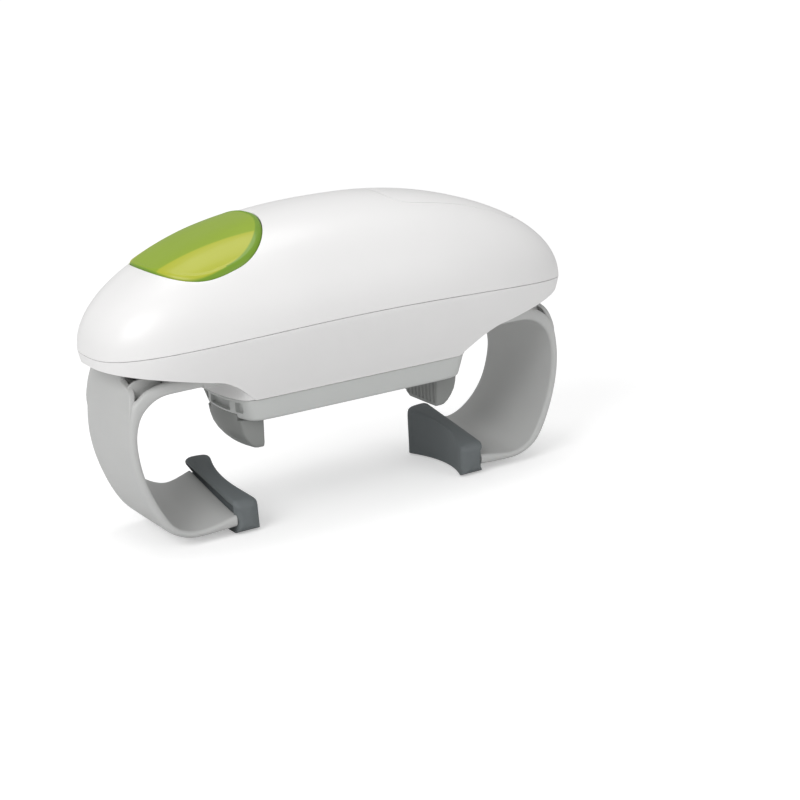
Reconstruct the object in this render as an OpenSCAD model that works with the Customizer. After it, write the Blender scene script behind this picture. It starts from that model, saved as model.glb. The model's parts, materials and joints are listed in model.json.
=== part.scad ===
// Battery jar opener: an oval two-shell casing with an oval push button,
// a turntable with two lid jaws under its hub, and two C-shaped jar arms.
// Jaws and arms each close on a pinion between two racks.
// X runs along the casing (the button end is -X), Z is up.
// The origin is on the table, midway between the two arm pads.

/* [Casing] */
// Overall length of the casing
body_l = 215; // [200:1:235]
// Width of the casing at its parting line
body_w = 80; // [78:1:90]
// Roundness of the plan outline, 2 is an ellipse
plan_n = 2.8; // [2.4:0.1:3.4]
// Height of the parting line's ends above the table
stand_h = 79; // [77:1:84]
// Rise of the parting line from the ends to the middle
part_rise = 6.5; // [4:0.5:8]
// Height of the dome above the middle of the parting line
dome_h = 41; // [40:1:46]
// Roundness of the dome's upright sections, 2 is an ellipse
dome_n = 2.1; // [2:0.05:2.4]
// Wall of both casing shells
wall = 2.2; // [1.8:0.1:2.6]

/* [Hub] */
// Drop from the parting line's ends to the hub's bottom
hub_drop = 24.4; // [23:0.1:25.5]
// Radius of the hub's round ends
hub_r = 56; // [55:0.5:58]
// Width of the hub's flat bottom
hub_w = 45; // [44:0.5:48]
// Depth of the skirt at the casing's tips
skirt_tip = 4; // [3.5:0.5:5]
// Depth of the skirt where it starts to turn down into the hub
skirt_root = 12.3; // [11.5:0.1:13]

/* [Button] */
// Distance of the button's middle from the casing's middle
button_x = 58.5; // [57:0.5:60]
// Length of the oval button along the slope
button_l = 50.5; // [48:0.5:52]
// Width of the oval button
button_w = 54; // [50:1:56]
// Stroke of the button
button_travel = 1.5; // [1:0.1:2]
// Thickness of the button cap
button_t = 3; // [2.5:0.1:3.5]

/* [Battery bay] */
// Diameter of a cell
cell_d = 14.5; // [14:0.1:14.6]
// Length of a cell
cell_l = 50.5; // [49:0.1:51]
// Length of the battery door in plan
door_l = 62; // [60:1:64]
// Width of the battery door
door_w = 36; // [35:1:40]

/* [Arms] */
// Width of an arm across the casing
arm_w = 39; // [37:0.5:39.5]
// Reach of an arm's curved band behind the casing's middle line
arm_back = 24; // [20:0.5:24]
// Thickness of an arm's top bar
bar_t = 5; // [4.5:0.1:5.2]
// Travel of each arm from the shown place inwards
arm_travel = 28; // [24:1:28]
// Travel of each arm from the shown place outwards
arm_spread = 5; // [2:0.5:5]
// Height of a rubber pad's lip halfway along the pad
pad_h = 17.6; // [17:0.1:18.4]
// Slope of the pads, lower at the front
pad_tilt = 10.5; // [9:0.5:12]

/* [Turntable and jaws] */
// Height of the turntable's grey band
band_h = 9.3; // [9:0.1:9.6]
// Inset of the band's bottom edge along the casing
band_taper = 3; // [2:0.1:3.5]
// Half the opening between the lid jaws as shown
jaw_x = 41; // [40:0.5:42]
// How far a jaw hangs below the turntable
jaw_drop = 13.4; // [12:0.1:13.6]
// Width of a jaw at its tip
jaw_w = 27; // [24:0.5:29]
// Travel of each jaw from the shown place inwards
jaw_travel = 26; // [22:0.5:26]
// Travel of each jaw from the shown place outwards
jaw_spread = 3; // [1:0.5:3]

/* [Gears] */
// Tooth module of the gear train and the jaw racks
fine_m = 0.8; // [0.8]
// Tooth module of the arm racks
arm_m = 1; // [1]
// Teeth of the turntable's gear
table_teeth = 32; // [32]
// Teeth of the large gears in the reduction
big_teeth = 40; // [40]
// Teeth of the small gears in the reduction
small_teeth = 10; // [10]
// Teeth of the gear on the drive shaft
drive_teeth = 34; // [34]

/* [Fits] */
// Radial clearance of a turning pin or shaft
run_gap = 0.05; // [0.03:0.01:0.08]
// Gap between sliding or separate pieces
gap = 0.3; // [0.25:0.05:0.35]

/* [Hidden] */
$fn = 48;
e = 0.01;

// Heights
part_mid = stand_h + part_rise;
hub_z = stand_h - hub_drop;
hub_h = part_mid - hub_z;
band_top = hub_z - gap;
band_z = band_top - band_h;
bar_top = stand_h - 11.2;
bar_z = bar_top - bar_t;
recess_z = bar_top + 2.7;
deck_z = recess_z + wall;
plate_t = 2;
base_z = recess_z;
train_z = base_z + plate_t + 1;
train_step = 4.2;
gear_t = 3.2;
cover_z = train_z + 3 * train_step + 1.2;

white = "#efefed";
light_grey = "#c9cac8";
mid_grey = "#8b9090";
dark_grey = "#666c6e";
green = "#a2c23c";
steel = "#b9bcbf";

// ---- Casing form ----

function spow(v, p) = sign(v) * pow(abs(v), p);
function part_z(x) = part_mid - part_rise * pow(x / (body_l / 2), 2);

// Points round the plan outline of both shells
turns = 64;

// Point of the dome at plan angle a and climb c, grown by g
function dome_point(a, c, g) =
    let (
        f = pow(cos(c), 2 / dome_n),
        x = (body_l / 2 + g) * spow(cos(a), 2 / plan_n) * f,
        y = (body_w / 2 + g) * spow(sin(a), 2 / plan_n) * f
    )
    [x, y, part_z(x) + (dome_h + g) * pow(sin(c), 2 / dome_n)];

// Height of the dome's skin over a point of the plan, grown by g
function dome_top(x, y, g = 0) =
    let (
        p = pow(abs(x) / (body_l / 2 + g), plan_n) + pow(abs(y) / (body_w / 2 + g), plan_n),
        q = 1 - pow(min(p, 1), dome_n / plan_n)
    )
    part_z(x) + (dome_h + g) * pow(q, 1 / dome_n);

// Solid dome above the parting line, carried down by drop
module dome_solid(g = 0, drop = 0) {
    rings = 11;
    pts = concat(
        [for (i = [0:turns - 1]) dome_point(i * 360 / turns, 0, g) - [0, 0, drop]],
        [for (j = [0:rings - 1]) for (i = [0:turns - 1])
            dome_point(i * 360 / turns, 90 * pow(j / rings, 0.8), g)],
        [dome_point(0, 90, g)]
    );
    rows = rings + 1;
    top = rows * turns;
    faces = concat(
        cap_faces(0, false),
        [for (j = [0:rows - 2]) for (i = [0:turns - 1])
            let (k = (i + 1) % turns)
            [j * turns + i, (j + 1) * turns + i, (j + 1) * turns + k]],
        [for (j = [0:rows - 2]) for (i = [0:turns - 1])
            let (k = (i + 1) % turns)
            [j * turns + i, (j + 1) * turns + k, j * turns + k]],
        [for (i = [0:turns - 1]) [(rows - 1) * turns + i, top, (rows - 1) * turns + (i + 1) % turns]]
    );
    polyhedron(pts, faces, convexity = 6);
}

// Drop of the lower shell's edge below stand_h at distance x from the middle
function edge_drop(x) =
    let (
        turn_x = hub_r + 14,
        corner_x = hub_corner_x,
        far = skirt_root - (skirt_root - skirt_tip) * (abs(x) - turn_x) / (body_l / 2 - turn_x),
        near = (turn_x - abs(x)) / (turn_x - corner_x)
    )
    abs(x) >= turn_x ? far : skirt_root + (hub_drop - skirt_root) * pow(min(near, 1), 1.7);

hub_corner_x = sqrt(pow(hub_r, 2) - pow(hub_w / 2, 2));

// Point of the lower shell at plan angle a and depth share t, grown by g
function bowl_point(a, t, g) =
    let (
        x0 = body_l / 2 * spow(cos(a), 2 / plan_n),
        depth = part_z(x0) - stand_h + edge_drop(x0),
        s = t * depth / hub_h,
        x = (body_l / 2 + g - 7 * pow(s, 1.2)) * spow(cos(a), 2 / plan_n),
        y = (body_w / 2 + g - (body_w - hub_w) / 2 * pow(s, 1.15)) * spow(sin(a), 2 / plan_n)
    )
    [x, y, part_z(x0) - t * depth];

// Solid bowl below the parting line; lift raises its open top, sink lowers its bottom
module bowl_solid(g = 0, lift = 0, sink = 0) {
    rings = 6;
    pts = concat(
        [for (i = [0:turns - 1]) bowl_point(i * 360 / turns, 0, g) + [0, 0, lift]],
        [for (j = [0:rings]) for (i = [0:turns - 1])
            bowl_point(i * 360 / turns, j / rings, g) - [0, 0, j == rings ? sink : 0]]
    );
    rows = rings + 2;
    faces = concat(
        [for (j = [0:rows - 2]) for (i = [0:turns - 1])
            let (k = (i + 1) % turns)
            [j * turns + i, (j + 1) * turns + k, (j + 1) * turns + i]],
        [for (j = [0:rows - 2]) for (i = [0:turns - 1])
            let (k = (i + 1) % turns)
            [j * turns + i, j * turns + k, (j + 1) * turns + k]],
        cap_faces((rows - 1) * turns, false),
        cap_faces(0, true)
    );
    polyhedron(pts, faces, convexity = 8);
}

// Strip of faces across the casing between the points of its two long sides
function cap_faces(first, up) =
    let (
        half = turns / 2,
        tris = concat(
            [[0, 1, turns - 1]],
            [for (i = [1:half - 2]) [i, i + 1, turns - i]],
            [for (i = [1:half - 2]) [i + 1, turns - i - 1, turns - i]],
            [[half - 1, half, half + 1]]
        )
    )
    [for (t = tris) [for (k = [0:2]) first + t[up ? 2 - k : k]]];

module column(r, h) {
    translate([0, 0, -e])
        cylinder(r = r, h = h + 2 * e);
}

module box(lo, hi) {
    translate(lo)
        cube(hi - lo);
}

// Oval outline of the button, grown by g
module button_oval(g = 0) {
    steps = 48;
    polygon([for (i = [0:steps - 1])
        [(button_l / 2 + g) * spow(cos(i * 360 / steps), 0.94),
         (button_w / 2 + g) * spow(sin(i * 360 / steps), 0.94)]]);
}

button_z = dome_top(-button_x, 0);
button_tilt = atan2(dome_top(-button_x + 6, 0) - dome_top(-button_x - 6, 0), 12);

// Places its children on the button's slope, with Z along the stroke
module on_button() {
    translate([-button_x, 0, button_z])
        rotate([0, -button_tilt, 0])
            children();
}

// Plan outline of the battery door, grown by g
module door_plan(g = 0) {
    corner = 9 + g;
    l = door_l + 2 * g;
    w = door_w + 2 * g;
    translate([bay_x, 0])
        hull()
            for (sx = [-1, 1])
                for (sy = [-1, 1])
                    translate([sx * (l / 2 - corner), sy * (w / 2 - corner)])
                        circle(r = corner, $fn = 32);
}

bay_wall = 1.6;
divider_t = 0.8;
bay_l = cell_l + 3.5;
bay_w = 2 * cell_d + 1.5;
bay_x = 22.5 + door_l / 2;
cell_z = part_mid + dome_h / 4 + 0.8;
bay_floor = cell_z - cell_d / 2 - gap;

// Places of the four casing screws
screw_x = 69;
screw_y = 25;
boss_r = 3.4;
boss_rise = 13.5;
boss_rib = 2;
screw_r = 1.4;

module at_casing_screws() {
    for (sx = [-1, 1])
        for (sy = [-1, 1])
            translate([sx * screw_x, sy * screw_y, 0])
                children();
}

// Height of the lower shell's tongue, which keeps the two shells in line
tongue_h = 1.5;
// Extra depth of the slots in the hub's wall, for the arms' curved corners
slot_dip = 1.2;

// Depth and thickness of the ring that guides the button's skirt
guide_depth = 15.5;
guide_t = 1.8;

// Bosses of the upper shell, each held to the side wall by a rib
module screw_bosses() {
    rib_z = tongue_h + 2 * gap;
    at_casing_screws()
        column(boss_r, boss_rise);
    for (sx = [-1, 1])
        for (sy = [-1, 1])
            translate([sx * screw_x - boss_rib / 2, sy > 0 ? screw_y + 2 : -body_w / 2, rib_z])
                cube([boss_rib, body_w / 2 - screw_y - 2, boss_rise - rib_z]);
}

module upper_casing() {
    color(white)
        difference() {
            union() {
                difference() {
                    dome_solid();
                    dome_solid(-wall, 1);
                    bowl_solid(-wall / 2, tongue_h + gap);
                }
                intersection() {
                    dome_solid(-wall / 2);
                    translate([0, 0, part_z(screw_x)])
                        screw_bosses();
                }
                intersection() {
                    dome_solid(-wall / 2);
                    on_button()
                        translate([0, 0, -guide_depth])
                            linear_extrude(guide_depth)
                                difference() {
                                    button_oval(gap + guide_t);
                                    button_oval(gap);
                                }
                }
            }
            on_button()
                translate([0, 0, -guide_depth - 2])
                    linear_extrude(guide_depth + 14)
                        button_oval(gap);
            difference() {
                translate([0, 0, part_mid])
                    linear_extrude(dome_h + 5)
                        door_plan(gap);
                hinge_lugs();
            }
            at_casing_screws()
                column(screw_r, stand_h + 14);
            on_hinge(-lug_out + 0.4, lug_out - 0.4)
                circle(r = hinge_pin_r);
        }
}

floor_boss_r = 15;
spigot_r = 10;
table_r = fine_m * table_teeth / 2;
pinion_r = fine_m * small_teeth / 2;
drive_y = table_r + pinion_r;
spigot_top = hub_z + wall + 2;
shaft_r = 2;
post_x = 19;
post_back_x = -42;
post_y = 24;
plate_edge = 4;

module at_gearbox_posts() {
    for (x = [post_back_x, post_x])
        for (sy = [-1, 1])
            translate([x, sy * post_y, 0])
                children();
}

module lower_casing() {
    color(white)
        difference() {
            union() {
                difference() {
                    bowl_solid();
                    intersection() {
                        bowl_solid(-wall, 1);
                        union() {
                            translate([0, 0, hub_z + wall])
                                column(hub_r - wall, stand_h);
                            box([-body_l, -body_w, deck_z], [body_l, body_w, stand_h + 20]);
                        }
                    }
                    intersection() {
                        bowl_solid(-wall, 0, 5);
                        difference() {
                            box([-body_l, -body_w, 0], [body_l, body_w, recess_z]);
                            column(hub_r, recess_z + 5);
                        }
                    }
                }
                difference() {
                    bowl_solid(-wall / 2 - gap / 2, tongue_h);
                    bowl_solid(-wall - 0.1, tongue_h + 1, 1);
                }
                translate([0, 0, hub_z])
                    column(floor_boss_r, wall + 2);
                translate([0, drive_y, hub_z + e])
                    column(4, wall + 1.2);
                intersection() {
                    bowl_solid(-wall / 2);
                    at_gearbox_posts()
                        translate([0, 0, hub_z + 3])
                            column(3.2, base_z - hub_z - 3 - e);
                }
                intersection() {
                    bowl_solid(-wall / 2);
                    at_casing_screws()
                        translate([0, 0, recess_z])
                            column(boss_r, part_z(screw_x) - recess_z - gap);
                }
                rail_ledges();
            }
            translate([0, 0, hub_z - 1])
                column(spigot_r + run_gap, 10);
            translate([0, drive_y, hub_z + wall / 2])
                column(shaft_r + run_gap, 10);
            for (s = [-1, 1])
                box([s > 0 ? hub_corner_x - 8 : -hub_r - 5, -arm_w / 2 - gap, bar_z - gap - slot_dip],
                    [s > 0 ? hub_r + 5 : -hub_corner_x + 8, arm_w / 2 + gap, bar_top + gap]);
            at_casing_screws() {
                translate([0, 0, recess_z - 1])
                    column(screw_r, 20);
                translate([0, 0, recess_z - 1])
                    column(2.9, 2.2);
            }
            at_gearbox_posts()
                translate([0, 0, base_z - 8])
                    column(1, 10);
        }
}

// Ledges on the hub's floor that the arms' side rails slide on
module rail_ledges() {
    for (sx = [-1, 1])
        for (sy = [-1, 1])
            intersection() {
                box([sx > 0 ? 20 : -48, sy > 0 ? 14.5 : -17.5, hub_z + wall - e],
                    [sx > 0 ? 48 : -20, sy > 0 ? 17.5 : -14.5, bar_z - gap]);
                bowl_solid(-wall / 2);
            }
}

module button() {
    color(green) {
        difference() {
            intersection() {
                dome_solid(0.5);
                on_button()
                    translate([0, 0, -skirt_depth])
                        linear_extrude(skirt_depth + 12)
                            button_oval();
            }
            difference() {
                dome_solid(-button_t);
                on_button()
                    translate([0, 0, -skirt_depth - 1])
                        linear_extrude(skirt_depth + 5)
                            difference() {
                                button_oval(1);
                                button_oval(-skirt_t);
                            }
            }
        }
        on_button()
            translate([0, 0, -stem_l])
                cylinder(r = 2.6, h = stem_l - button_t + 0.8);
    }
}

stem_l = 13;
skirt_depth = 13.5;
skirt_t = 1.6;
spring_r = 4.4;
spring_wire = 0.9;
spring_turns = 5;
bracket_drop = stem_l + 6.8;
switch_h = bracket_drop - stem_l - button_travel - gap;

// Coil spring round the button's stem: a tube swept along a helix
module button_spring() {
    low = -bracket_drop + gap / 2;
    high = -button_t - 0.9;
    pitch_len = high - low - 2 * spring_wire / 2;
    steps = 12;
    sides = 6;
    rings = steps * spring_turns;
    function rise(i) = pitch_len * i / rings;
    function on_helix(i) = [spring_r * cos(i * 360 / steps), spring_r * sin(i * 360 / steps),
                            low + spring_wire / 2 + rise(i)];
    pts = [for (i = [0:rings]) for (k = [0:sides - 1])
        let (
            c = on_helix(i),
            a = i * 360 / steps,
            b = k * 360 / sides,
            out = spring_wire / 2 * cos(b),
            up = spring_wire / 2 * sin(b)
        )
        c + [out * cos(a), out * sin(a), up]];
    faces = concat(
        [[for (k = [0:sides - 1]) k]],
        [for (i = [0:rings - 1]) for (k = [0:sides - 1])
            let (n = (k + 1) % sides)
            [i * sides + k, (i + 1) * sides + k, (i + 1) * sides + n]],
        [for (i = [0:rings - 1]) for (k = [0:sides - 1])
            let (n = (k + 1) % sides)
            [i * sides + k, (i + 1) * sides + n, i * sides + n]],
        [[for (k = [0:sides - 1]) rings * sides + sides - 1 - k]]
    );
    color(steel)
        on_button()
            polyhedron(pts, faces, convexity = 10);
}

// Moulded tower on the casing's deck, cut square to the button's stroke
module switch_bracket() {
    tower_l = 26;
    tower_w = 20;
    color(light_grey)
        difference() {
            box([-button_x - tower_l / 2 - 2, -tower_w / 2, deck_z],
                [-button_x + tower_l / 2 - 2, tower_w / 2, button_z]);
            on_button()
                box([-60, -40, -bracket_drop], [60, 40, 60]);
            box([-button_x - tower_l / 2, -tower_w / 2 + 2, deck_z - 1],
                [-button_x + tower_l / 2 - 4, tower_w / 2 - 2, deck_z + 9]);
        }
}

module switch() {
    body = 5;
    color(dark_grey)
        on_button()
            translate([0, 0, -bracket_drop]) {
                box([-body / 2, -body / 2, 0], [body / 2, body / 2, switch_h - 1.2]);
                cylinder(r = 1.7, h = switch_h);
            }
}

// Hinge at the door's outer end, in the middle of its wall
hinge_x = bay_x + door_l / 2 - 1.5;
hinge_z = dome_top(hinge_x, 0) - 1.4;
hinge_pin_r = 0.6;
lug_r = 1.5;
door_swing_r = 5.8;
lug_in = 4.3;
lug_out = 7.2;

// Runs its children along the hinge, from y = from to y = to
module on_hinge(from, to) {
    translate([hinge_x, to, hinge_z])
        rotate([90, 0, 0])
            linear_extrude(to - from)
                children();
}

// Lugs of the upper shell that hold the hinge pin
module hinge_lugs() {
    intersection() {
        dome_solid();
        for (s = [-1, 1])
            on_hinge(s > 0 ? lug_in : -lug_out, s > 0 ? lug_out : -lug_in) {
                circle(r = lug_r);
                translate([0, -lug_r])
                    square([3, 2 * lug_r]);
            }
    }
}

module battery_door() {
    color(white)
        difference() {
            intersection() {
                dome_solid();
                translate([0, 0, part_mid])
                    linear_extrude(dome_h + 5)
                        door_plan();
            }
            dome_solid(-wall);
            for (s = [-1, 1])
                on_hinge(s > 0 ? lug_in - gap : -lug_out - gap, s > 0 ? lug_out + gap : gap - lug_in)
                    translate([-lug_r - gap, -6])
                        square([8, 12]);
            on_hinge(-lug_in, lug_in)
                circle(r = hinge_pin_r + run_gap);
        }
}

module door_pin() {
    color(steel)
        on_hinge(-lug_out + 0.4, lug_out - 0.4)
            circle(r = hinge_pin_r);
}

module battery_tray() {
    lo_x = bay_x - bay_l / 2;
    hi_x = bay_x + bay_l / 2;
    color(light_grey)
        difference() {
            intersection() {
                dome_solid(-wall - 0.1);
                box([lo_x - bay_wall, -bay_w / 2 - bay_wall, bay_floor - bay_wall],
                    [hi_x + bay_wall, bay_w / 2 + bay_wall, 200]);
            }
            difference() {
                box([lo_x, -bay_w / 2, bay_floor], [hi_x, bay_w / 2, 200]);
                box([lo_x - 1, -divider_t / 2, 0], [hi_x + 1, divider_t / 2, cell_z - 5 - gap]);
            }
            on_hinge(-door_w / 2, door_w / 2)
                circle(r = door_swing_r);
        }
}

module battery_cells() {
    color("#5d6f86")
        for (s = [-1, 1])
            translate([bay_x - s * 0.4 - cell_l / 2, s * (cell_d / 2 + 0.5), cell_z])
                rotate([0, 90, 0])
                    union() {
                        cylinder(r = cell_d / 2, h = cell_l - 1.5);
                        translate([0, 0, s > 0 ? cell_l - 1.5 - e : -1])
                            cylinder(r = 2.6, h = 1);
                    }
}

module battery_contacts() {
    lo_x = bay_x - bay_l / 2;
    hi_x = bay_x + bay_l / 2;
    t = 0.4;
    color(steel) {
        box([lo_x, -bay_w / 2 + 1, cell_z - 5], [lo_x + t, bay_w / 2 - 1, cell_z + 5]);
        for (s = [-1, 1])
            box([hi_x - t, s > 0 ? 1.5 : -cell_d + 0.5, cell_z - 5],
                [hi_x, s > 0 ? cell_d - 0.5 : -1.5, cell_z + 5]);
    }
}

// ---- Gears ----

// Spur gear outline with straight-flanked teeth
module gear_plan(teeth, m, turn = 0) {
    r = m * teeth / 2;
    outer = r + m * 0.9;
    root = r - m * 1.15;
    tooth = 360 / teeth;
    polygon([for (i = [0:teeth - 1])
        for (p = [[root, -0.37], [r, -0.225], [outer, -0.1], [outer, 0.1], [r, 0.225], [root, 0.37]])
            let (a = turn + (i + p[1]) * tooth)
            [p[0] * cos(a), p[0] * sin(a)]]);
}

module gear(teeth, m, t, bore, turn = 0) {
    difference() {
        linear_extrude(t)
            gear_plan(teeth, m, turn);
        column(bore, t);
    }
}

// Straight rack: teeth point to +Y from the pitch line at y = 0, a gap at x = 0
module rack_plan(x0, x1, back, m) {
    pitch = PI * m;
    n0 = ceil(x0 / pitch);
    n1 = floor(x1 / pitch) - 1;
    polygon(concat(
        [[x0, -back], [x0, -m * 1.15]],
        [for (i = [n0:n1])
            for (p = [[0.12, -1.15], [0.265, 0], [0.39, 0.9], [0.61, 0.9], [0.735, 0], [0.88, -1.15]])
                [(i + p[0]) * pitch, p[1] * m]],
        [[x1, -m * 1.15], [x1, -back]]
    ));
}

motor_r = 12;
motor_l = 27;
pin_r = 1.5;
mesh_big = fine_m * (small_teeth + big_teeth) / 2;
mesh_drive = fine_m * (small_teeth + drive_teeth) / 2;
// Angles from one gear's axis to the next, seen from above
drive_to_second = 209.6;
second_to_first = 233.1;
first_to_motor = 36.9;
drive_at = [0, drive_y];
second_at = drive_at + mesh_drive * [cos(drive_to_second), sin(drive_to_second)];
first_at = second_at + mesh_big * [cos(second_to_first), sin(second_to_first)];
motor_at = first_at + mesh_big * [cos(first_to_motor), sin(first_to_motor)];

// Turn of a gear that puts a gap on the line at angle a, where a tooth meets it
function gap_on(a, teeth) = a + 180 / teeth;

module motor() {
    color(steel)
        translate([motor_at[0], motor_at[1], cover_z + plate_t])
            difference() {
                union() {
                    cylinder(r = motor_r, h = motor_l);
                    translate([0, 0, motor_l - e])
                        cylinder(r = 4, h = 1.5);
                }
                for (s = [-1, 1])
                    translate([s > 0 ? motor_r - 2.2 : -motor_r - 2.2, -20, -1])
                        cube([4.4, 40, motor_l + 1 - 2]);
            }
}

module motor_pinion() {
    color("#c8a24a")
        translate([motor_at[0], motor_at[1], train_z + 2 * train_step]) {
            linear_extrude(gear_t + 0.6)
                gear_plan(small_teeth, fine_m, gap_on(first_to_motor + 180, small_teeth));
            translate([0, 0, gear_t + 0.6 - e])
                cylinder(r = 1, h = cover_z + plate_t - train_z - 2 * train_step - gear_t - 0.6 - gap);
        }
}

module first_gear() {
    color("#e9e6dc")
        translate([first_at[0], first_at[1], train_z + train_step]) {
            gear(small_teeth, fine_m, train_step + e, pin_r + run_gap,
                 gap_on(second_to_first + 180, small_teeth));
            translate([0, 0, train_step])
                gear(big_teeth, fine_m, gear_t, pin_r + run_gap, first_to_motor);
        }
}

module second_gear() {
    color("#e9e6dc")
        translate([second_at[0], second_at[1], train_z]) {
            gear(small_teeth, fine_m, train_step + e, pin_r + run_gap,
                 gap_on(drive_to_second + 180, small_teeth));
            translate([0, 0, train_step])
                gear(big_teeth, fine_m, gear_t, pin_r + run_gap, second_to_first);
        }
}

module drive_gear() {
    color("#e9e6dc")
        translate([0, drive_y, train_z])
            gear(drive_teeth, fine_m, gear_t, shaft_r, drive_to_second);
}

table_gear_z = spigot_top + gap;
table_gear_t = 2.6;

// Steel shaft through the gearbox base, with the turntable's pinion cut at its foot
module drive_shaft() {
    color(steel)
        translate([0, drive_y, 0]) {
            translate([0, 0, hub_z + wall / 2 + gap])
                cylinder(r = shaft_r, h = train_z + gear_t - hub_z - wall / 2 - gap);
            translate([0, 0, table_gear_z])
                linear_extrude(table_gear_t)
                    gear_plan(small_teeth, fine_m, gap_on(90, small_teeth));
        }
}

module gear_pins() {
    color(steel) {
        translate([second_at[0], second_at[1], base_z])
            cylinder(r = pin_r, h = train_z + train_step + gear_t + 0.6 - base_z);
        translate([first_at[0], first_at[1], base_z])
            cylinder(r = pin_r, h = cover_z + plate_t - base_z);
    }
}

module gearbox_plan() {
    lo = [post_back_x - plate_edge, -post_y - 3.2];
    hi = [post_x + plate_edge, post_y + 3.2];
    translate(lo)
        square(hi - lo);
}

module gearbox_base() {
    color(light_grey)
        translate([0, 0, base_z])
            difference() {
                linear_extrude(plate_t)
                    gearbox_plan();
                at_gearbox_posts()
                    column(1.2, plate_t);
                translate([second_at[0], second_at[1], 0])
                    column(pin_r, plate_t);
                translate([first_at[0], first_at[1], 0])
                    column(pin_r, plate_t);
                translate([0, drive_y, 0])
                    column(shaft_r + run_gap, plate_t);
                column(shaft_r, plate_t);
            }
}

module gearbox_cover() {
    color(light_grey)
        translate([0, 0, cover_z])
            difference() {
                linear_extrude(plate_t)
                    difference() {
                        gearbox_plan();
                        translate([8, -post_y + 6])
                            square([10, 2 * post_y - 12]);
                    }
                at_gearbox_posts()
                    column(1.2, plate_t);
                translate([first_at[0], first_at[1], 0])
                    column(pin_r, plate_t);
                translate([motor_at[0], motor_at[1], 0])
                    column(3, plate_t);
            }
}

module gearbox_posts() {
    color(light_grey)
        at_gearbox_posts()
            translate([0, 0, base_z + plate_t])
                difference() {
                    cylinder(r = 2.6, h = cover_z - base_z - plate_t);
                    column(1.2, cover_z - base_z);
                }
}

// Screw with a flat head, point down, head's underside at z = 0
module screw(r, l, head_r, head_t) {
    translate([0, 0, -l])
        cylinder(r = r, h = l + e);
    difference() {
        cylinder(r = head_r, h = head_t);
        for (a = [0, 90])
            rotate([0, 0, a])
                translate([-head_r * 0.6, -0.25, head_t * 0.45])
                    cube([head_r * 1.2, 0.5, head_t]);
    }
}

module gearbox_screws() {
    color(steel)
        at_gearbox_posts()
            translate([0, 0, cover_z + plate_t])
                screw(0.95, cover_z + plate_t - base_z + 6, 2.2, 1.4);
}

module casing_screws() {
    color(steel)
        at_casing_screws()
            translate([0, 0, recess_z + 1.2])
                rotate([180, 0, 0])
                    screw(screw_r, 16, 2.6, 1.1);
}

// ---- Arms ----

// Heights in the arm's drawn curve. Below drawn_foot they stay as drawn, above it
// they stretch with the height of the arm's top bar.
drawn_foot = 17;
drawn_top = 67.8;

function lift(z) =
    z + max(z - drawn_foot, 0) / (drawn_top - drawn_foot) * (bar_top - drawn_top);

// Distance from the casing's middle to a pad's face, and to its back on the arm
pad_face = 46.2;
pad_root = 58.7;
pad_seat = pad_root + 0.1;

// Stations along an arm: outer skin, inner skin at the front, inner skin at the back.
// First number is the distance from the middle of the casing, second the height.
drawn_stations = [
    [[66, 67.8], [66, 62.8], [66, 62.8]],
    [[77, 67.8], [77, 62.8], [77, 62.8]],
    [[86, 67.6], [85.5, 62.4], [83, 62]],
    [[93.5, 65], [91, 60], [88, 58.5]],
    [[98.8, 59], [95.2, 55.5], [91, 52]],
    [[101, 49], [97.3, 48], [92.5, 44.5]],
    [[100.6, 38], [96.8, 38], [91.5, 37]],
    [[98, 27], [94.4, 28], [88.5, 28.5]],
    [[93.6, 16], [90.2, 18], [83.5, 21.5]],
    [[88.3, 8], [85.6, 10.6], [77.5, 16.6]],
    [[81, 3.8], [80, 7], [71.5, 14]],
    [[73, 2.8], [72.5, 6.2], [66.5, 14]],
    [[pad_seat, 3.4], [pad_seat, 8.5], [pad_seat, 16.5]]
];
arm_stations = [for (s = drawn_stations) [for (p = s) [p[0], lift(p[1])]]];

function blend_at(p0, p1, p2, p3, t) =
    0.5 * (2 * p1 + (p2 - p0) * t + (2 * p0 - 5 * p1 + 4 * p2 - p3) * t * t
        + (3 * p1 - p0 - 3 * p2 + p3) * t * t * t);

function arm_curve(k, steps) =
    let (n = len(arm_stations), s = [for (q = arm_stations) q[k]])
    concat(
        [for (i = [0:n - 2]) for (j = [0:steps - 1])
            blend_at(s[max(i - 1, 0)], s[i], s[i + 1], s[min(i + 2, n - 1)], j / steps)],
        [s[n - 1]]
    );

// Back edge of the band at station k: as wide as the bar at first, then wider
function band_reach(k) =
    arm_w / 2 + (arm_back - arm_w / 2) * min(max((k - 1.8) / 1.6, 0), 1);

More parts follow.
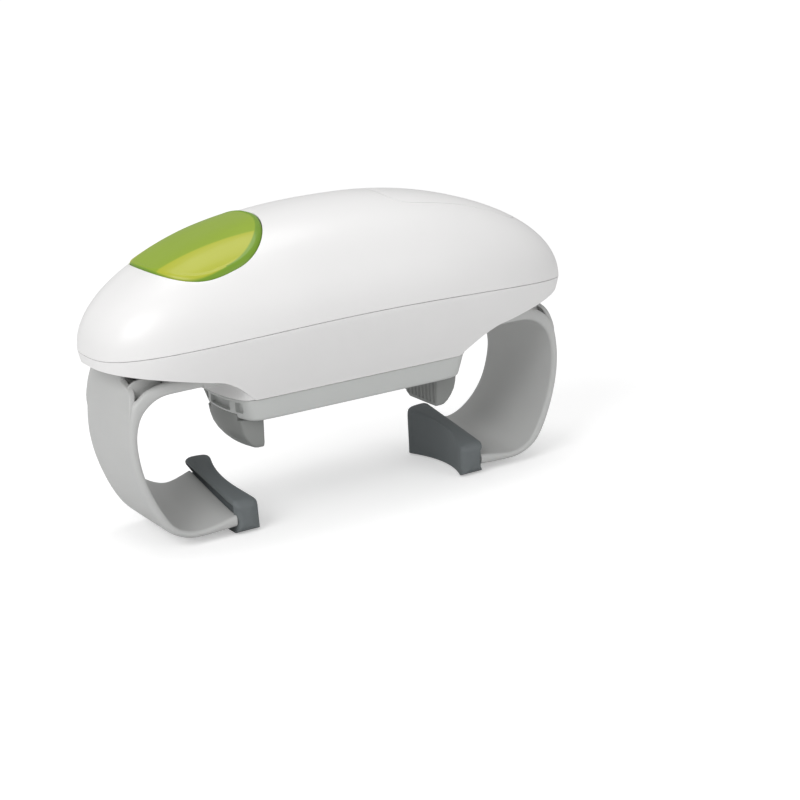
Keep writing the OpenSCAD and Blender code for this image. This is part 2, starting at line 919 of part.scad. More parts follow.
// Moulded C-shaped band, thicker at its back edge
module arm_band() {
    steps = 4;
    soft = 1.1;
    outer = arm_curve(0, steps);
    front = arm_curve(1, steps);
    back = arm_curve(2, steps);
    n = len(outer);
    lo = -arm_w / 2;
    pts = [for (i = [0:n - 1])
        let (
            o = outer[i],
            f = front[i],
            b = back[i],
            hi = band_reach(i / steps),
            fo = (f - o) * soft / norm(f - o),
            bo = (b - o) * soft / norm(b - o)
        )
        each [
            [o[0], lo + soft, o[1]],
            [o[0], hi - soft, o[1]],
            [o[0] + bo[0], hi, o[1] + bo[1]],
            [b[0] - bo[0], hi, b[1] - bo[1]],
            [b[0], hi - soft, b[1]],
            [f[0], lo + soft, f[1]],
            [f[0] - fo[0], lo, f[1] - fo[1]],
            [o[0] + fo[0], lo, o[1] + fo[1]]
        ]];
    k = 8;
    faces = concat(
        [[for (j = [0:k - 1]) k - 1 - j]],
        [for (i = [0:n - 2]) for (j = [0:k - 1])
            let (m = (j + 1) % k)
            [i * k + j, i * k + m, (i + 1) * k + m]],
        [for (i = [0:n - 2]) for (j = [0:k - 1])
            let (m = (j + 1) % k)
            [i * k + j, (i + 1) * k + m, (i + 1) * k + j]],
        [[for (j = [0:k - 1]) (n - 1) * k + j]]
    );
    polyhedron(pts, faces, convexity = 6);
}

arm_pinion_teeth = 12;
arm_pitch_r = arm_m * arm_pinion_teeth / 2;
rack_back = 6.2;
rail_w = 5;
band_x = arm_stations[0][0][0];
rack_end = arm_spread + 3;

// Moulded parts of one arm on the +X side: band, corner and the two side rails
module arm_moulding() {
    difference() {
        union() {
            arm_band();
            for (s = [-1, 1])
                box([44, s > 0 ? arm_w / 2 - rail_w : -arm_w / 2, bar_z],
                    [band_x + 3, s > 0 ? arm_w / 2 : -arm_w / 2 + rail_w, bar_top]);
        }
        box([band_x + 6, -arm_w / 2 + rail_w + 1, bar_z + 2.2],
            [band_x + 18, arm_w / 2 - rail_w - 1, bar_top + 5]);
        across(-arm_w / 2 + 2.2, rib_y - 1.2)
            arm_pocket(7, 15, 2.2);
        across(rib_y + 1.2, arm_back - 3)
            arm_pocket(8, 13, 3.2);
    }
    arm_corner();
}

// Runs its children, drawn in X and Z, from y = from to y = to
module across(from, to) {
    translate([0, to, 0])
        rotate([90, 0, 0])
            linear_extrude(to - from)
                children();
}

// Front edge of the upright skin at an arm's top corner, and the rib before it
corner_front = -4;
rib_y = -10;

// Upright skin at the arm's top corner, which carries the band's outer face
// on up to the casing, and the wall that closes it at the back
module arm_corner() {
    crest = recess_z - gap;
    across(corner_front, arm_back)
        polygon([[100.5, lift(50)], [100.5, lift(52.5)], [100.2, lift(55.5)],
                 [99.7, lift(59.5)], [98.7, lift(63.8)], [97.3, crest - 2.8],
                 [96.3, crest], [93.4, crest], [94.4, crest - 3.2], [95.8, lift(63)],
                 [96.8, lift(58.5)], [97.4, lift(50)]]);
    across(arm_back - 2.4, arm_back)
        polygon([[86, bar_top - 1.8], [97, lift(50)], [99, lift(60)], [97.8, lift(64.5)],
                 [96, crest - 2.2], [95, crest], [89, crest], [86, bar_top - 0.2]]);
}

// Section of a pocket in the band's outer face, between two points of its curve
module arm_pocket(first, last, depth) {
    steps = 4;
    outer = arm_curve(0, steps);
    front = arm_curve(1, steps);
    inward = [for (i = [0:last]) (front[i] - outer[i]) / norm(front[i] - outer[i])];
    floor = [for (i = [first:last]) outer[i] + depth * inward[i]];
    clear = [for (i = [last:-1:first]) outer[i] - 3 * inward[i]];
    polygon(concat(floor, clear));
}

// Rack of the +X arm, on the +Y side of the pinion
module arm_rack() {
    translate([0, arm_pitch_r, bar_z])
        linear_extrude(bar_t)
            mirror([0, 1])
                rack_plan(-rack_end, band_x + 2, rack_back, arm_m);
}

module right_arm() {
    color(light_grey) {
        arm_moulding();
        arm_rack();
    }
}

module left_arm() {
    color(light_grey) {
        mirror([1, 0, 0])
            arm_moulding();
        rotate([0, 0, 180])
            arm_rack();
    }
}

// Middle of a pad along Y, where its profile is drawn
pad_y = (arm_back - arm_w / 2) / 2;
// Radius of the jar that a pad's face is hollowed to, and its depth there
jar_r = 43;
saddle_x = pad_face + 6.8;
// How far a pad reaches past its arm, and the length of its rounded wings
pad_over = 0.8;
pad_wing = 5.5;

// Rubber pad on an arm's end: a saddle with two wings and a curled lip above
module pad_solid() {
    ends = arm_w / 2 + arm_back;
    difference() {
        intersection() {
            translate([0, pad_y, 0])
                rotate([pad_tilt, 0, 0])
                    across(-ends / 2 - 8, ends / 2 + 8)
                        pad_profile();
            linear_extrude(2 * pad_h)
                pad_plan();
        }
        translate([saddle_x - jar_r, pad_y, -1])
            cylinder(r = jar_r, h = 2 * pad_h, $fn = 96);
    }
}

// Section of a pad; the groove under the lip's curl shows as the slot beside the arm
module pad_profile() {
    lip = pad_h;
    polygon([[pad_face + 0.3, -9], [pad_root, -9], [pad_root, lip - 6],
             [pad_root - 2.1, lip - 5.6], [pad_root - 3.1, lip - 4.2],
             [pad_root - 2.7, lip - 2.4], [pad_root - 1.1, lip - 1.8],
             [pad_root + 0.5, lip - 2.5], [pad_root + 1.2, lip - 3.9],
             [pad_root + 2.5, lip - 3.7], [pad_root + 2.4, lip - 2.1],
             [pad_root + 0.9, lip - 0.7], [pad_root - 1.5, lip],
             [pad_face + 7.3, lip - 0.1], [pad_face + 4, lip - 0.6],
             [pad_face + 2, lip - 1.8], [pad_face + 0.8, lip - 3.8],
             [pad_face + 0.2, lip - 6.8], [pad_face, 6], [pad_face + 0.1, 3]]);
}

module pad_plan() {
    lo = -arm_w / 2 - pad_over;
    hi = arm_back + pad_over;
    deep = pad_face + 4.3;
    polygon([[pad_face - 6.2, lo + pad_wing], [pad_face, lo + pad_wing],
             [pad_face + 0.5, lo + 3], [pad_face + 1.8, lo + 1.2], [deep, lo],
             [pad_root + 7.3, lo], [pad_root + 7.3, hi], [deep, hi],
             [pad_face + 1.8, hi - 1.2], [pad_face + 0.5, hi - 3],
             [pad_face, hi - pad_wing], [pad_face - 6.2, hi - pad_wing]]);
}

module right_pad() {
    color(dark_grey)
        pad_solid();
}

module left_pad() {
    color(dark_grey)
        mirror([1, 0, 0])
            pad_solid();
}

module arm_pinion() {
    color("#e9e6dc")
        translate([0, 0, bar_z - 0.1])
            gear(arm_pinion_teeth, arm_m, bar_t + 0.2, shaft_r + run_gap, 90);
}

module arm_pinion_pin() {
    color(steel) {
        translate([0, 0, bar_z - 0.5])
            cylinder(r = shaft_r, h = base_z + plate_t - bar_z + 0.5);
        translate([0, 0, bar_z - 0.9])
            cylinder(r = 3.2, h = 0.5);
    }
}

// ---- Turntable ----

band_r = hub_r - 0.5;
band_w = hub_w - 1;
band_skin = 1.8;
band_roof = 2.5;
slide_t = 4;
slide_gap = 0.25;
cover_t = 2;
slide_z = band_z + cover_t + slide_gap;
slot_w = 24;
seat_x = jaw_x - jaw_travel - 2;
cover_x = jaw_x - 1;

// Band's outer form: a cone cut to a tapered slab
module band_form(g = 0) {
    intersection() {
        translate([0, 0, band_z])
            cylinder(r1 = band_r - band_taper + g, r2 = band_r + g, h = band_h, $fn = 96);
        rotate([90, 0, 90])
            linear_extrude(2 * band_r + 10, center = true)
                polygon([[-band_w / 2 + 1 - g, band_z], [band_w / 2 - 1 + g, band_z],
                         [band_w / 2 + g, band_top], [-band_w / 2 - g, band_top]]);
    }
}

module jaw_carrier() {
    color(light_grey)
        difference() {
            union() {
                difference() {
                    band_form();
                    intersection() {
                        band_form(-band_skin);
                        box([-100, -100, band_z - 1], [100, 100, band_top - band_roof]);
                    }
                }
                translate([0, 0, band_top - e])
                    cylinder(r = spigot_r, h = spigot_top + gap - band_top + e);
                for (s = [-1, 1])
                    translate([0, s * 16, band_z + cover_t])
                        cylinder(r = 2.6, h = band_h - cover_t - 1);
            }
            column(pin_r, 200);
            for (s = [-1, 1]) {
                translate([0, s * 16, band_z])
                    column(0.9, band_h - band_roof);
                for (y = [-9.5, 4.5])
                    box([s > 0 ? 40 : -60, y, band_top - band_roof - 3.6],
                        [s > 0 ? 60 : -40, y + 5, band_top - band_roof - 0.6]);
                box([s > 0 ? 40 : -60, -band_w / 2 + 3, band_z - 1],
                    [s > 0 ? 60 : -40, band_w / 2 - 3, band_z + cover_t + slide_gap + 1]);
            }
            for (a = [0, 120, 240])
                rotate([0, 0, a + 30])
                    translate([6.5, 0, spigot_top - 4])
                        column(0.8, 10);
        }
}

module carrier_cover() {
    color(light_grey)
        difference() {
            intersection() {
                band_form(-band_skin - 0.1);
                box([-100, -100, band_z], [100, 100, band_z + cover_t]);
            }
            for (s = [-1, 1]) {
                box([s > 0 ? seat_x : -100, -slot_w / 2, band_z - 1],
                    [s > 0 ? 100 : -seat_x, slot_w / 2, band_z + 5]);
                box([s > 0 ? cover_x : -100, -100, band_z - 1],
                    [s > 0 ? 100 : -cover_x, 100, band_z + 5]);
                translate([0, s * 16, band_z - 1]) {
                    column(1.1, 5);
                    column(2.3, 2);
                }
            }
        }
}

module carrier_gear() {
    color("#e9e6dc")
        translate([0, 0, table_gear_z])
            difference() {
                linear_extrude(table_gear_t)
                    gear_plan(table_teeth, fine_m, 90);
                column(pin_r + 0.5, table_gear_t);
                for (a = [0, 120, 240])
                    rotate([0, 0, a + 30])
                        translate([6.5, 0, 0]) {
                            column(0.9, 10);
                            translate([0, 0, 1.2])
                                column(2, 10);
                        }
            }
}

module carrier_screws() {
    color(steel) {
        for (a = [0, 120, 240])
            rotate([0, 0, a + 30])
                translate([6.5, 0, table_gear_z + 1.2])
                    screw(0.8, 4.5, 1.8, 1.1);
        for (s = [-1, 1])
            translate([0, s * 16, band_z + 1])
                rotate([180, 0, 0])
                    screw(0.9, 5, 2.1, 0.9);
    }
}

jaw_pinion_teeth = 10;
jaw_pitch_r = fine_m * jaw_pinion_teeth / 2;
jaw_rack_back = 5;

// Reach of a claw's flared back edge at its top
claw_back = 19;

// Hooked claw of the +X jaw: upright at the front, flared at the back
module jaw_claw() {
    top = band_z - gap;
    tip = band_z - jaw_drop;
    outer = band_r - band_taper + 1;
    half = jaw_w / 2;
    difference() {
        intersection() {
            rotate_extrude($fn = 96)
                polygon([[10, tip], [jaw_x + 3.8, tip], [jaw_x + 6.8, tip + 1],
                         [outer - 2.9, tip + 3.8], [outer - 0.8, tip + 7.5], [outer, top],
                         [10, top]]);
            rotate([90, 0, 90])
                linear_extrude(100)
                    polygon([[-half, tip + 1.2], [1.2 - half, tip], [half - 6, tip],
                             [half - 3.5, tip + 0.9], [half + 1.5, tip + 6],
                             [claw_back, top - 1.2], [claw_back, top], [-half - 0.6, top]]);
            box([jaw_x, -30, tip], [80, 30, top]);
        }
        for (i = [-4:4])
            translate([jaw_x - 0.5, i * 2.8, tip + 1.6])
                rotate([0, 0, 45])
                    cube([1.1, 1.1, top - tip - 3.4]);
    }
}

// Neck, slide and rack of the +X jaw
module jaw_runner() {
    top = band_z - gap;
    neck = slot_w / 2 - 0.5;
    box([jaw_x + 1, -neck, top - e], [jaw_x + 8, neck, band_z + cover_t]);
    jaw_slide(neck);
    translate([0, jaw_pitch_r, slide_z])
        linear_extrude(slide_t)
            mirror([0, 1])
                rack_plan(-jaw_spread - 3, jaw_x - 5, jaw_rack_back, fine_m);
}

// Slide above the turntable's cover: a flange on each side, with room between
// them on the -Y side for the other jaw's rack
module jaw_slide(neck) {
    flange = band_w / 2 - band_skin - 2.4;
    lane = jaw_pitch_r + jaw_rack_back + 0.6;
    for (y = [[jaw_pitch_r - 1, flange, neck], [-flange, -lane, -neck]]) {
        box([jaw_x - 6, y[0], slide_z], [jaw_x + 3.5, y[1], slide_z + slide_t]);
        box([jaw_x + 1, y[2] > 0 ? y[0] : y[2], band_z + cover_t - 1],
            [jaw_x + 3.5, y[2] > 0 ? y[2] : y[1], slide_z + 1]);
    }
}

module right_jaw() {
    color(mid_grey) {
        jaw_claw();
        jaw_runner();
    }
}

module left_jaw() {
    color(mid_grey) {
        mirror([1, 0, 0])
            jaw_claw();
        rotate([0, 0, 180])
            jaw_runner();
    }
}

module jaw_pinion() {
    color("#e9e6dc")
        translate([0, 0, slide_z - 0.05])
            gear(jaw_pinion_teeth, fine_m, slide_t + 0.1, pin_r + run_gap, 90);
}

module jaw_pinion_pin() {
    color(steel)
        translate([0, 0, band_z + cover_t])
            cylinder(r = pin_r, h = spigot_top - band_z - cover_t);
}

upper_casing();
lower_casing();
button();
button_spring();
switch_bracket();
switch();
battery_door();
door_pin();
battery_tray();
battery_cells();
battery_contacts();
motor();
motor_pinion();
first_gear();
second_gear();
drive_shaft();
drive_gear();
gear_pins();
gearbox_base();
gearbox_cover();
gearbox_posts();
gearbox_screws();
left_arm();
right_arm();
left_pad();
right_pad();
arm_pinion();
arm_pinion_pin();
jaw_carrier();
carrier_cover();
carrier_gear();
carrier_screws();
left_jaw();
right_jaw();
jaw_pinion();
jaw_pinion_pin();
casing_screws();
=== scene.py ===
# %% [markdown]
# # A battery jar opener, dressed in Blender
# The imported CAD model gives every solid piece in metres, already in its place.
# This lesson loads it, keeps the pieces whose shape is right and gives them
# finishes, and rebuilds the moulded skins with smooth surfaces: the two white
# shells, the green button, the door, the arms, their pads, the turntable's band
# and the claws.

# %% Load the frame
import json
from math import atan2, cos, pi, radians, sin, sqrt

import bmesh
import bpy
from mathutils import Matrix, Vector


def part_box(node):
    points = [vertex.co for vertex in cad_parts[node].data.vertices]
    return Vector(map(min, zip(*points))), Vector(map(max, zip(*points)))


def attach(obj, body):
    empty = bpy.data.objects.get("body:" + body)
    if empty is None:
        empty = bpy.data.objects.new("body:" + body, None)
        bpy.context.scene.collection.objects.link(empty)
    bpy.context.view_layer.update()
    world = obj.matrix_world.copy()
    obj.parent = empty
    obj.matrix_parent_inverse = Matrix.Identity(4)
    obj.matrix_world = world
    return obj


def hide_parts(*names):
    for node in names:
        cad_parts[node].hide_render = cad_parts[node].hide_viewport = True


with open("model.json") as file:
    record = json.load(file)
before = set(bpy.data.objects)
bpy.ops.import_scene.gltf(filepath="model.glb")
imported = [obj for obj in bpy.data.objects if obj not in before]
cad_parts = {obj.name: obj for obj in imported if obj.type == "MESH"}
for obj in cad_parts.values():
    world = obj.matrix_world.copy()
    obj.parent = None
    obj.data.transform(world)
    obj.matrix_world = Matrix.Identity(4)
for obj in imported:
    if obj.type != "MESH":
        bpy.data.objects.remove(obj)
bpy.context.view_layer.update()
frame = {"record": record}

MM = 0.001

# %% [markdown]
# The camera comes first, because every other choice is judged through it.
# Its turn, height and lens were fitted to points measured on the photograph:
# the casing's parting line, the hub's corners and the feet of the two arms.
# A camera's own axes are right, up and back, so three vectors make its matrix.

# %% Place the camera
VIEW_TURN = radians(-31.15)
VIEW_CLIMB = radians(16.6)
VIEW_ROLL = radians(-3.07)
VIEW_DISTANCE = 0.726
VIEW_TARGET = Vector((0.0018, -0.0486, 0.0506))
FOCAL_PIXELS = 1844
IMAGE_PIXELS = 800
SENSOR_MM = 36

back = Vector((sin(VIEW_TURN) * cos(VIEW_CLIMB),
               -cos(VIEW_TURN) * cos(VIEW_CLIMB),
               sin(VIEW_CLIMB)))
level_right = (-back).cross(Vector((0, 0, 1))).normalized()
level_up = level_right.cross(-back)
view_right = level_right * cos(VIEW_ROLL) + level_up * sin(VIEW_ROLL)
view_up = level_up * cos(VIEW_ROLL) - level_right * sin(VIEW_ROLL)

lens = bpy.data.cameras.new("view_camera")
lens.sensor_width = SENSOR_MM
lens.lens = FOCAL_PIXELS / IMAGE_PIXELS * SENSOR_MM
lens.clip_start = 0.01
camera = bpy.data.objects.new("view_camera", lens)
bpy.context.scene.collection.objects.link(camera)
turned = Matrix((view_right, view_up, back)).transposed().to_4x4()
camera.matrix_world = Matrix.Translation(VIEW_TARGET + back * VIEW_DISTANCE) @ turned
bpy.context.scene.camera = camera
print("camera lens %.1f mm, %.3f m from its target" % (lens.lens, VIEW_DISTANCE))

# %% [markdown]
# A product on a white sheet needs broad lamps, because gloss shows the lamps
# themselves. One wide lamp hangs over the front left, a second fills the front, a
# third hangs overhead, and a pale world lights the undersides. Standard view keeps colours as written.

# %% Light the scene
scene = bpy.context.scene
scene.view_settings.view_transform = "Standard"

def lamp(name, place, target, width, height, power):
    data = bpy.data.lights.new(name, "AREA")
    data.shape = "RECTANGLE"
    data.size = width
    data.size_y = height
    data.energy = power
    item = bpy.data.objects.new(name, data)
    scene.collection.objects.link(item)
    item.location = place
    item.rotation_euler = (Vector(target) - Vector(place)).to_track_quat("-Z", "Y").to_euler()
    return item

lamp("over_left", (-1.12, -0.48, 0.9), (0, 0, 0.08), 0.9, 0.7, 10.2)
lamp("front_fill", (0.5, -1.2, 0.5), (0, 0, 0.07), 0.9, 0.9, 3.1)
lamp("overhead", (0.05, 0.1, 1.3), (0, 0, 0.1), 1.0, 0.5, 5)

world = bpy.data.worlds.new("pale_room")
scene.world = world
world.use_nodes = True
world_nodes = world.node_tree.nodes
world_links = world.node_tree.links
room = world_nodes["Background"]
room.inputs["Color"].default_value = (1, 1, 1, 1)
room_path = world_nodes.new("ShaderNodeLightPath")
seen = world_nodes.new("ShaderNodeMath")
seen.operation = "MAXIMUM"
world_links.new(room_path.outputs["Is Camera Ray"], seen.inputs[0])
world_links.new(room_path.outputs["Is Transmission Ray"], seen.inputs[1])
ROOM_LIGHT = 0.42
span = world_nodes.new("ShaderNodeMapRange")
span.inputs["To Min"].default_value = ROOM_LIGHT
span.inputs["To Max"].default_value = 1.0
world_links.new(seen.outputs[0], span.inputs["Value"])
world_links.new(span.outputs["Result"], room.inputs["Strength"])

# %% [markdown]
# The floor is one wide sheet. Its paint is nearly white, and a little light that
# only the camera sees lifts it to the photograph's white, so the opener keeps
# its shadow and gets no extra light. The lamps fade with distance, so the lift
# grows away from the opener and the sheet stays one even white to the horizon.

# %% Lay the floor
FLOOR_HALF = 9.0
FLOOR_DROP = 0.0002

def sheet_of_paper(name, half):
    bm = bmesh.new()
    bmesh.ops.create_grid(bm, x_segments=1, y_segments=1, size=half)
    mesh = bpy.data.meshes.new(name)
    bm.to_mesh(mesh)
    bm.free()
    item = bpy.data.objects.new(name, mesh)
    scene.collection.objects.link(item)
    return item

floor = sheet_of_paper("floor", FLOOR_HALF)
floor.data.transform(Matrix.Translation((0, 0, -FLOOR_DROP)))
paper = bpy.data.materials.new("floor_paper")
paper.use_nodes = True
paper_nodes = paper.node_tree.nodes
paper_links = paper.node_tree.links
paper_nodes.clear()
paint = paper_nodes.new("ShaderNodeBsdfDiffuse")
paint.inputs["Color"].default_value = (0.8, 0.8, 0.8, 1)
lift = paper_nodes.new("ShaderNodeEmission")
floor_path = paper_nodes.new("ShaderNodeLightPath")
floor_place = paper_nodes.new("ShaderNodeTexCoord")
how_far = paper_nodes.new("ShaderNodeVectorMath")
how_far.operation = "LENGTH"
paper_links.new(floor_place.outputs["Object"], how_far.inputs[0])
fade = paper_nodes.new("ShaderNodeMapRange")
fade.inputs["From Min"].default_value = 0.25
fade.inputs["From Max"].default_value = 2.2
fade.inputs["To Min"].default_value = 0.38
fade.inputs["To Max"].default_value = 0.72
paper_links.new(how_far.outputs["Value"], fade.inputs["Value"])
scale = paper_nodes.new("ShaderNodeMath")
scale.operation = "MULTIPLY"
paper_links.new(fade.outputs["Result"], scale.inputs[1])
paper_links.new(floor_path.outputs["Is Camera Ray"], scale.inputs[0])
paper_links.new(scale.outputs[0], lift.inputs["Strength"])
both = paper_nodes.new("ShaderNodeAddShader")
paper_links.new(paint.outputs[0], both.inputs[0])
paper_links.new(lift.outputs[0], both.inputs[1])
surface = paper_nodes.new("ShaderNodeOutputMaterial")
paper_links.new(both.outputs[0], surface.inputs["Surface"])
floor.data.materials.append(paper)
print("floor spans", floor.dimensions[:2])

# %% [markdown]
# Finishes come next. Every plastic here is one recipe with other numbers: a base
# colour that drifts a little between two near tones, a roughness that varies with
# handling marks, a fine moulded grain as bump, and edges a touch lighter where
# they rub. Object coordinates hold the patterns still on each piece.

# %% Helper for a procedural finish
def finish(name, dark, light, rough, rough_span=0.08, grain=900.0, grain_depth=0.00002,
           blotch=35.0, wear=0.25, metallic=0.0, coat=0.0, stretch=(1, 1, 1)):
    material = bpy.data.materials.new(name)
    material.use_nodes = True
    nodes = material.node_tree.nodes
    links = material.node_tree.links
    shader = nodes["Principled BSDF"]
    shader.inputs["Metallic"].default_value = metallic
    shader.inputs["Coat Weight"].default_value = coat
    shader.inputs["Coat Roughness"].default_value = 0.06
    place = nodes.new("ShaderNodeTexCoord")
    mapping = nodes.new("ShaderNodeMapping")
    mapping.inputs["Scale"].default_value = stretch
    links.new(place.outputs["Object"], mapping.inputs["Vector"])
    drift = nodes.new("ShaderNodeTexNoise")
    drift.inputs["Scale"].default_value = blotch
    drift.inputs["Detail"].default_value = 3
    links.new(mapping.outputs["Vector"], drift.inputs["Vector"])
    tone = nodes.new("ShaderNodeMix")
    tone.data_type = "RGBA"
    tone.inputs["A"].default_value = (*dark, 1)
    tone.inputs["B"].default_value = (*light, 1)
    links.new(drift.outputs["Fac"], tone.inputs["Factor"])
    edge = nodes.new("ShaderNodeNewGeometry")
    rub = nodes.new("ShaderNodeMapRange")
    rub.inputs["From Min"].default_value = 0.53
    rub.inputs["From Max"].default_value = 0.62
    rub.inputs["To Max"].default_value = wear
    links.new(edge.outputs["Pointiness"], rub.inputs["Value"])
    worn = nodes.new("ShaderNodeMix")
    worn.data_type = "RGBA"
    worn.inputs["B"].default_value = (*[min(1.0, c * 1.12 + 0.03) for c in light], 1)
    links.new(rub.outputs["Result"], worn.inputs["Factor"])
    links.new(tone.outputs["Result"], worn.inputs["A"])
    links.new(worn.outputs["Result"], shader.inputs["Base Color"])
    smear = nodes.new("ShaderNodeTexNoise")
    smear.inputs["Scale"].default_value = blotch * 2.6
    smear.inputs["Detail"].default_value = 5
    links.new(mapping.outputs["Vector"], smear.inputs["Vector"])
    polish = nodes.new("ShaderNodeMapRange")
    polish.inputs["To Min"].default_value = rough - rough_span / 2
    polish.inputs["To Max"].default_value = rough + rough_span / 2
    links.new(smear.outputs["Fac"], polish.inputs["Value"])
    links.new(polish.outputs["Result"], shader.inputs["Roughness"])
    pores = nodes.new("ShaderNodeTexNoise")
    pores.inputs["Scale"].default_value = grain
    pores.inputs["Detail"].default_value = 2
    links.new(mapping.outputs["Vector"], pores.inputs["Vector"])
    bump = nodes.new("ShaderNodeBump")
    bump.inputs["Strength"].default_value = 0.5
    bump.inputs["Distance"].default_value = grain_depth
    links.new(pores.outputs["Fac"], bump.inputs["Height"])
    links.new(bump.outputs["Normal"], shader.inputs["Normal"])
    return material

# %% [markdown]
# White casing, lime button, three greys and a rubber: their colours were read
# from the lit and shaded sides in the photograph. The metals and the pale
# gear plastic are inside, so they follow what such pieces usually look like.

# %% Mix the finishes
casing_white = finish("casing_white", (0.82, 0.815, 0.812), (0.855, 0.849, 0.845), 0.36,
                      grain=1400, grain_depth=0.000004, wear=0.1, coat=0.05)
button_green = finish("button_green", (0.29, 0.46, 0.030), (0.34, 0.51, 0.036), 0.34,
                      grain=1200, grain_depth=0.000004, wear=0.1, coat=0.08)
# The cap's base green is darker than the stem's. It is partly its own green and partly painted shade
# over its middle.
cap_green_painted_light_and_shade = finish("cap_green_painted_light_and_shade", (0.25, 0.37, 0.016), (0.285, 0.41, 0.02), 0.4,
                   grain=1200, grain_depth=0.000004, wear=0.1, coat=0.08)
arm_grey = finish("arm_grey", (0.50, 0.505, 0.50), (0.545, 0.55, 0.54), 0.42,
                  grain=1600, grain_depth=0.00002, wear=0.2)
band_grey = finish("band_grey", (0.53, 0.543, 0.532), (0.57, 0.583, 0.572), 0.4,
                   grain=1600, grain_depth=0.00002, wear=0.2)
jaw_grey = finish("jaw_grey", (0.235, 0.243, 0.235), (0.275, 0.283, 0.275), 0.45,
                  grain=1500, grain_depth=0.00003, wear=0.3)
pad_rubber = finish("pad_rubber", (0.125, 0.14, 0.145), (0.155, 0.172, 0.178), 0.62,
                    rough_span=0.16, grain=1100, grain_depth=0.00005, wear=0.35)
inner_grey = finish("inner_grey", (0.40, 0.405, 0.40), (0.45, 0.455, 0.45), 0.5,
                    grain=1300, grain_depth=0.00003)
gear_plastic = finish("gear_plastic", (0.74, 0.72, 0.64), (0.79, 0.77, 0.69), 0.4,
                      grain=900, grain_depth=0.00001)
plain_steel = finish("plain_steel", (0.45, 0.45, 0.46), (0.58, 0.58, 0.59), 0.3, rough_span=0.14,
                     grain=700, grain_depth=0.00001, metallic=1.0, stretch=(1, 1, 6))
turned_brass = finish("turned_brass", (0.62, 0.44, 0.16), (0.70, 0.51, 0.21), 0.28,
                      grain=800, grain_depth=0.00001, metallic=1.0, stretch=(1, 1, 6))
switch_black = finish("switch_black", (0.02, 0.02, 0.022), (0.035, 0.035, 0.037), 0.38,
                      grain=1200, grain_depth=0.00002)
print("finishes:", len(bpy.data.materials))

# %% [markdown]
# The button's moulding is one green, its base colour in the middle. The facets
# outside the two creases get a lighter, yellower green: a painted highlight where
# they face the lamps more. The bevelled rim gets a darker green, which is painted shade.
# The shader works out from Object coordinates on which of them a point lies.

# %% Painted highlight and painted shade on the button
def shader_sum(material, operation, first, second):
    node = material.node_tree.nodes.new("ShaderNodeMath")
    node.operation = operation
    for socket, value in zip(node.inputs, (first, second)):
        if isinstance(value, (int, float)):
            socket.default_value = value
        elif value is not None:
            material.node_tree.links.new(value, socket)
    return node.outputs[0]

def ramp(material, where, low, high):
    edge = material.node_tree.nodes.new("ShaderNodeMapRange")
    edge.inputs["From Min"].default_value = low
    edge.inputs["From Max"].default_value = high
    material.node_tree.links.new(where, edge.inputs["Value"])
    return edge.outputs["Result"]

def lay_over(material, share, colour):
    nodes, links = material.node_tree.nodes, material.node_tree.links
    shader = nodes["Principled BSDF"]
    under = shader.inputs["Base Color"].links[0].from_socket
    swap = nodes.new("ShaderNodeMix")
    swap.data_type = "RGBA"
    swap.inputs["B"].default_value = (*colour, 1)
    links.new(share, swap.inputs["Factor"])
    links.new(under, swap.inputs["A"])
    links.new(swap.outputs["Result"], shader.inputs["Base Color"])

def object_axes(material):
    apart = material.node_tree.nodes.new("ShaderNodeSeparateXYZ")
    place = material.node_tree.nodes["Texture Coordinate"].outputs["Object"]
    material.node_tree.links.new(place, apart.inputs[0])
    return apart.outputs

# The facet green is a painted highlight and the rim green is painted shade
FACET_PAINTED_HIGHLIGHT_GREEN, RIM_PAINTED_SHADE_GREEN = (0.42, 0.45, 0.024), (0.17, 0.31, 0.016)
CAP_MIDDLE, CAP_HALF_L, CAP_HALF_W = 0.0585, 0.0242, 0.0283
CREASE_START, CREASE_SLOPE = 0.0154, 0.17

def paint_button_highlight_and_shade(material):
    x, y, _ = object_axes(material)
    along_cap = shader_sum(material, "ADD", x, CAP_MIDDLE)
    off_line = shader_sum(material, "ABSOLUTE", y, None)
    spread = shader_sum(material, "MULTIPLY", along_cap, CREASE_SLOPE)
    crease = shader_sum(material, "ADD", spread, CREASE_START)
    beyond = shader_sum(material, "SUBTRACT", off_line, crease)
    # Painted highlight: a lighter green on the facets beyond each crease
    lay_over(material, ramp(material, beyond, -0.0003, 0.0005), FACET_PAINTED_HIGHLIGHT_GREEN)
    # The outline is squarer towards the casing's tip, so its exponent is larger there
    outer_half = shader_sum(material, "LESS_THAN", along_cap, 0.0)
    bow = shader_sum(material, "ADD", shader_sum(material, "MULTIPLY", outer_half, 0.55), 2.15)
    size_along = shader_sum(material, "ABSOLUTE", along_cap, None)
    far_l = shader_sum(material, "POWER", shader_sum(material, "DIVIDE", size_along, CAP_HALF_L), bow)
    far_w = shader_sum(material, "POWER", shader_sum(material, "DIVIDE", off_line, CAP_HALF_W), bow)
    rim_measure_for_painted_shade = shader_sum(material, "ADD", far_l, far_w)
    # Painted shade: a darker green on the bevelled rim
    lay_over(material, ramp(material, rim_measure_for_painted_shade, 0.86, 0.9), RIM_PAINTED_SHADE_GREEN)

paint_button_highlight_and_shade(cap_green_painted_light_and_shade)
print("button cap: middle, facets and rim")

# %% [markdown]
# A battery's sleeve isn't one colour: printed film round the middle, bare metal
# at both ends. A step along X, the way the two cells lie, splits the paint. The
# film is left plain, with no lettering.

# %% Finish for the cells
cell_sleeve = finish("cell_sleeve", (0.05, 0.075, 0.12), (0.065, 0.09, 0.14), 0.3,
                     grain=1000, grain_depth=0.000005, coat=0.3)

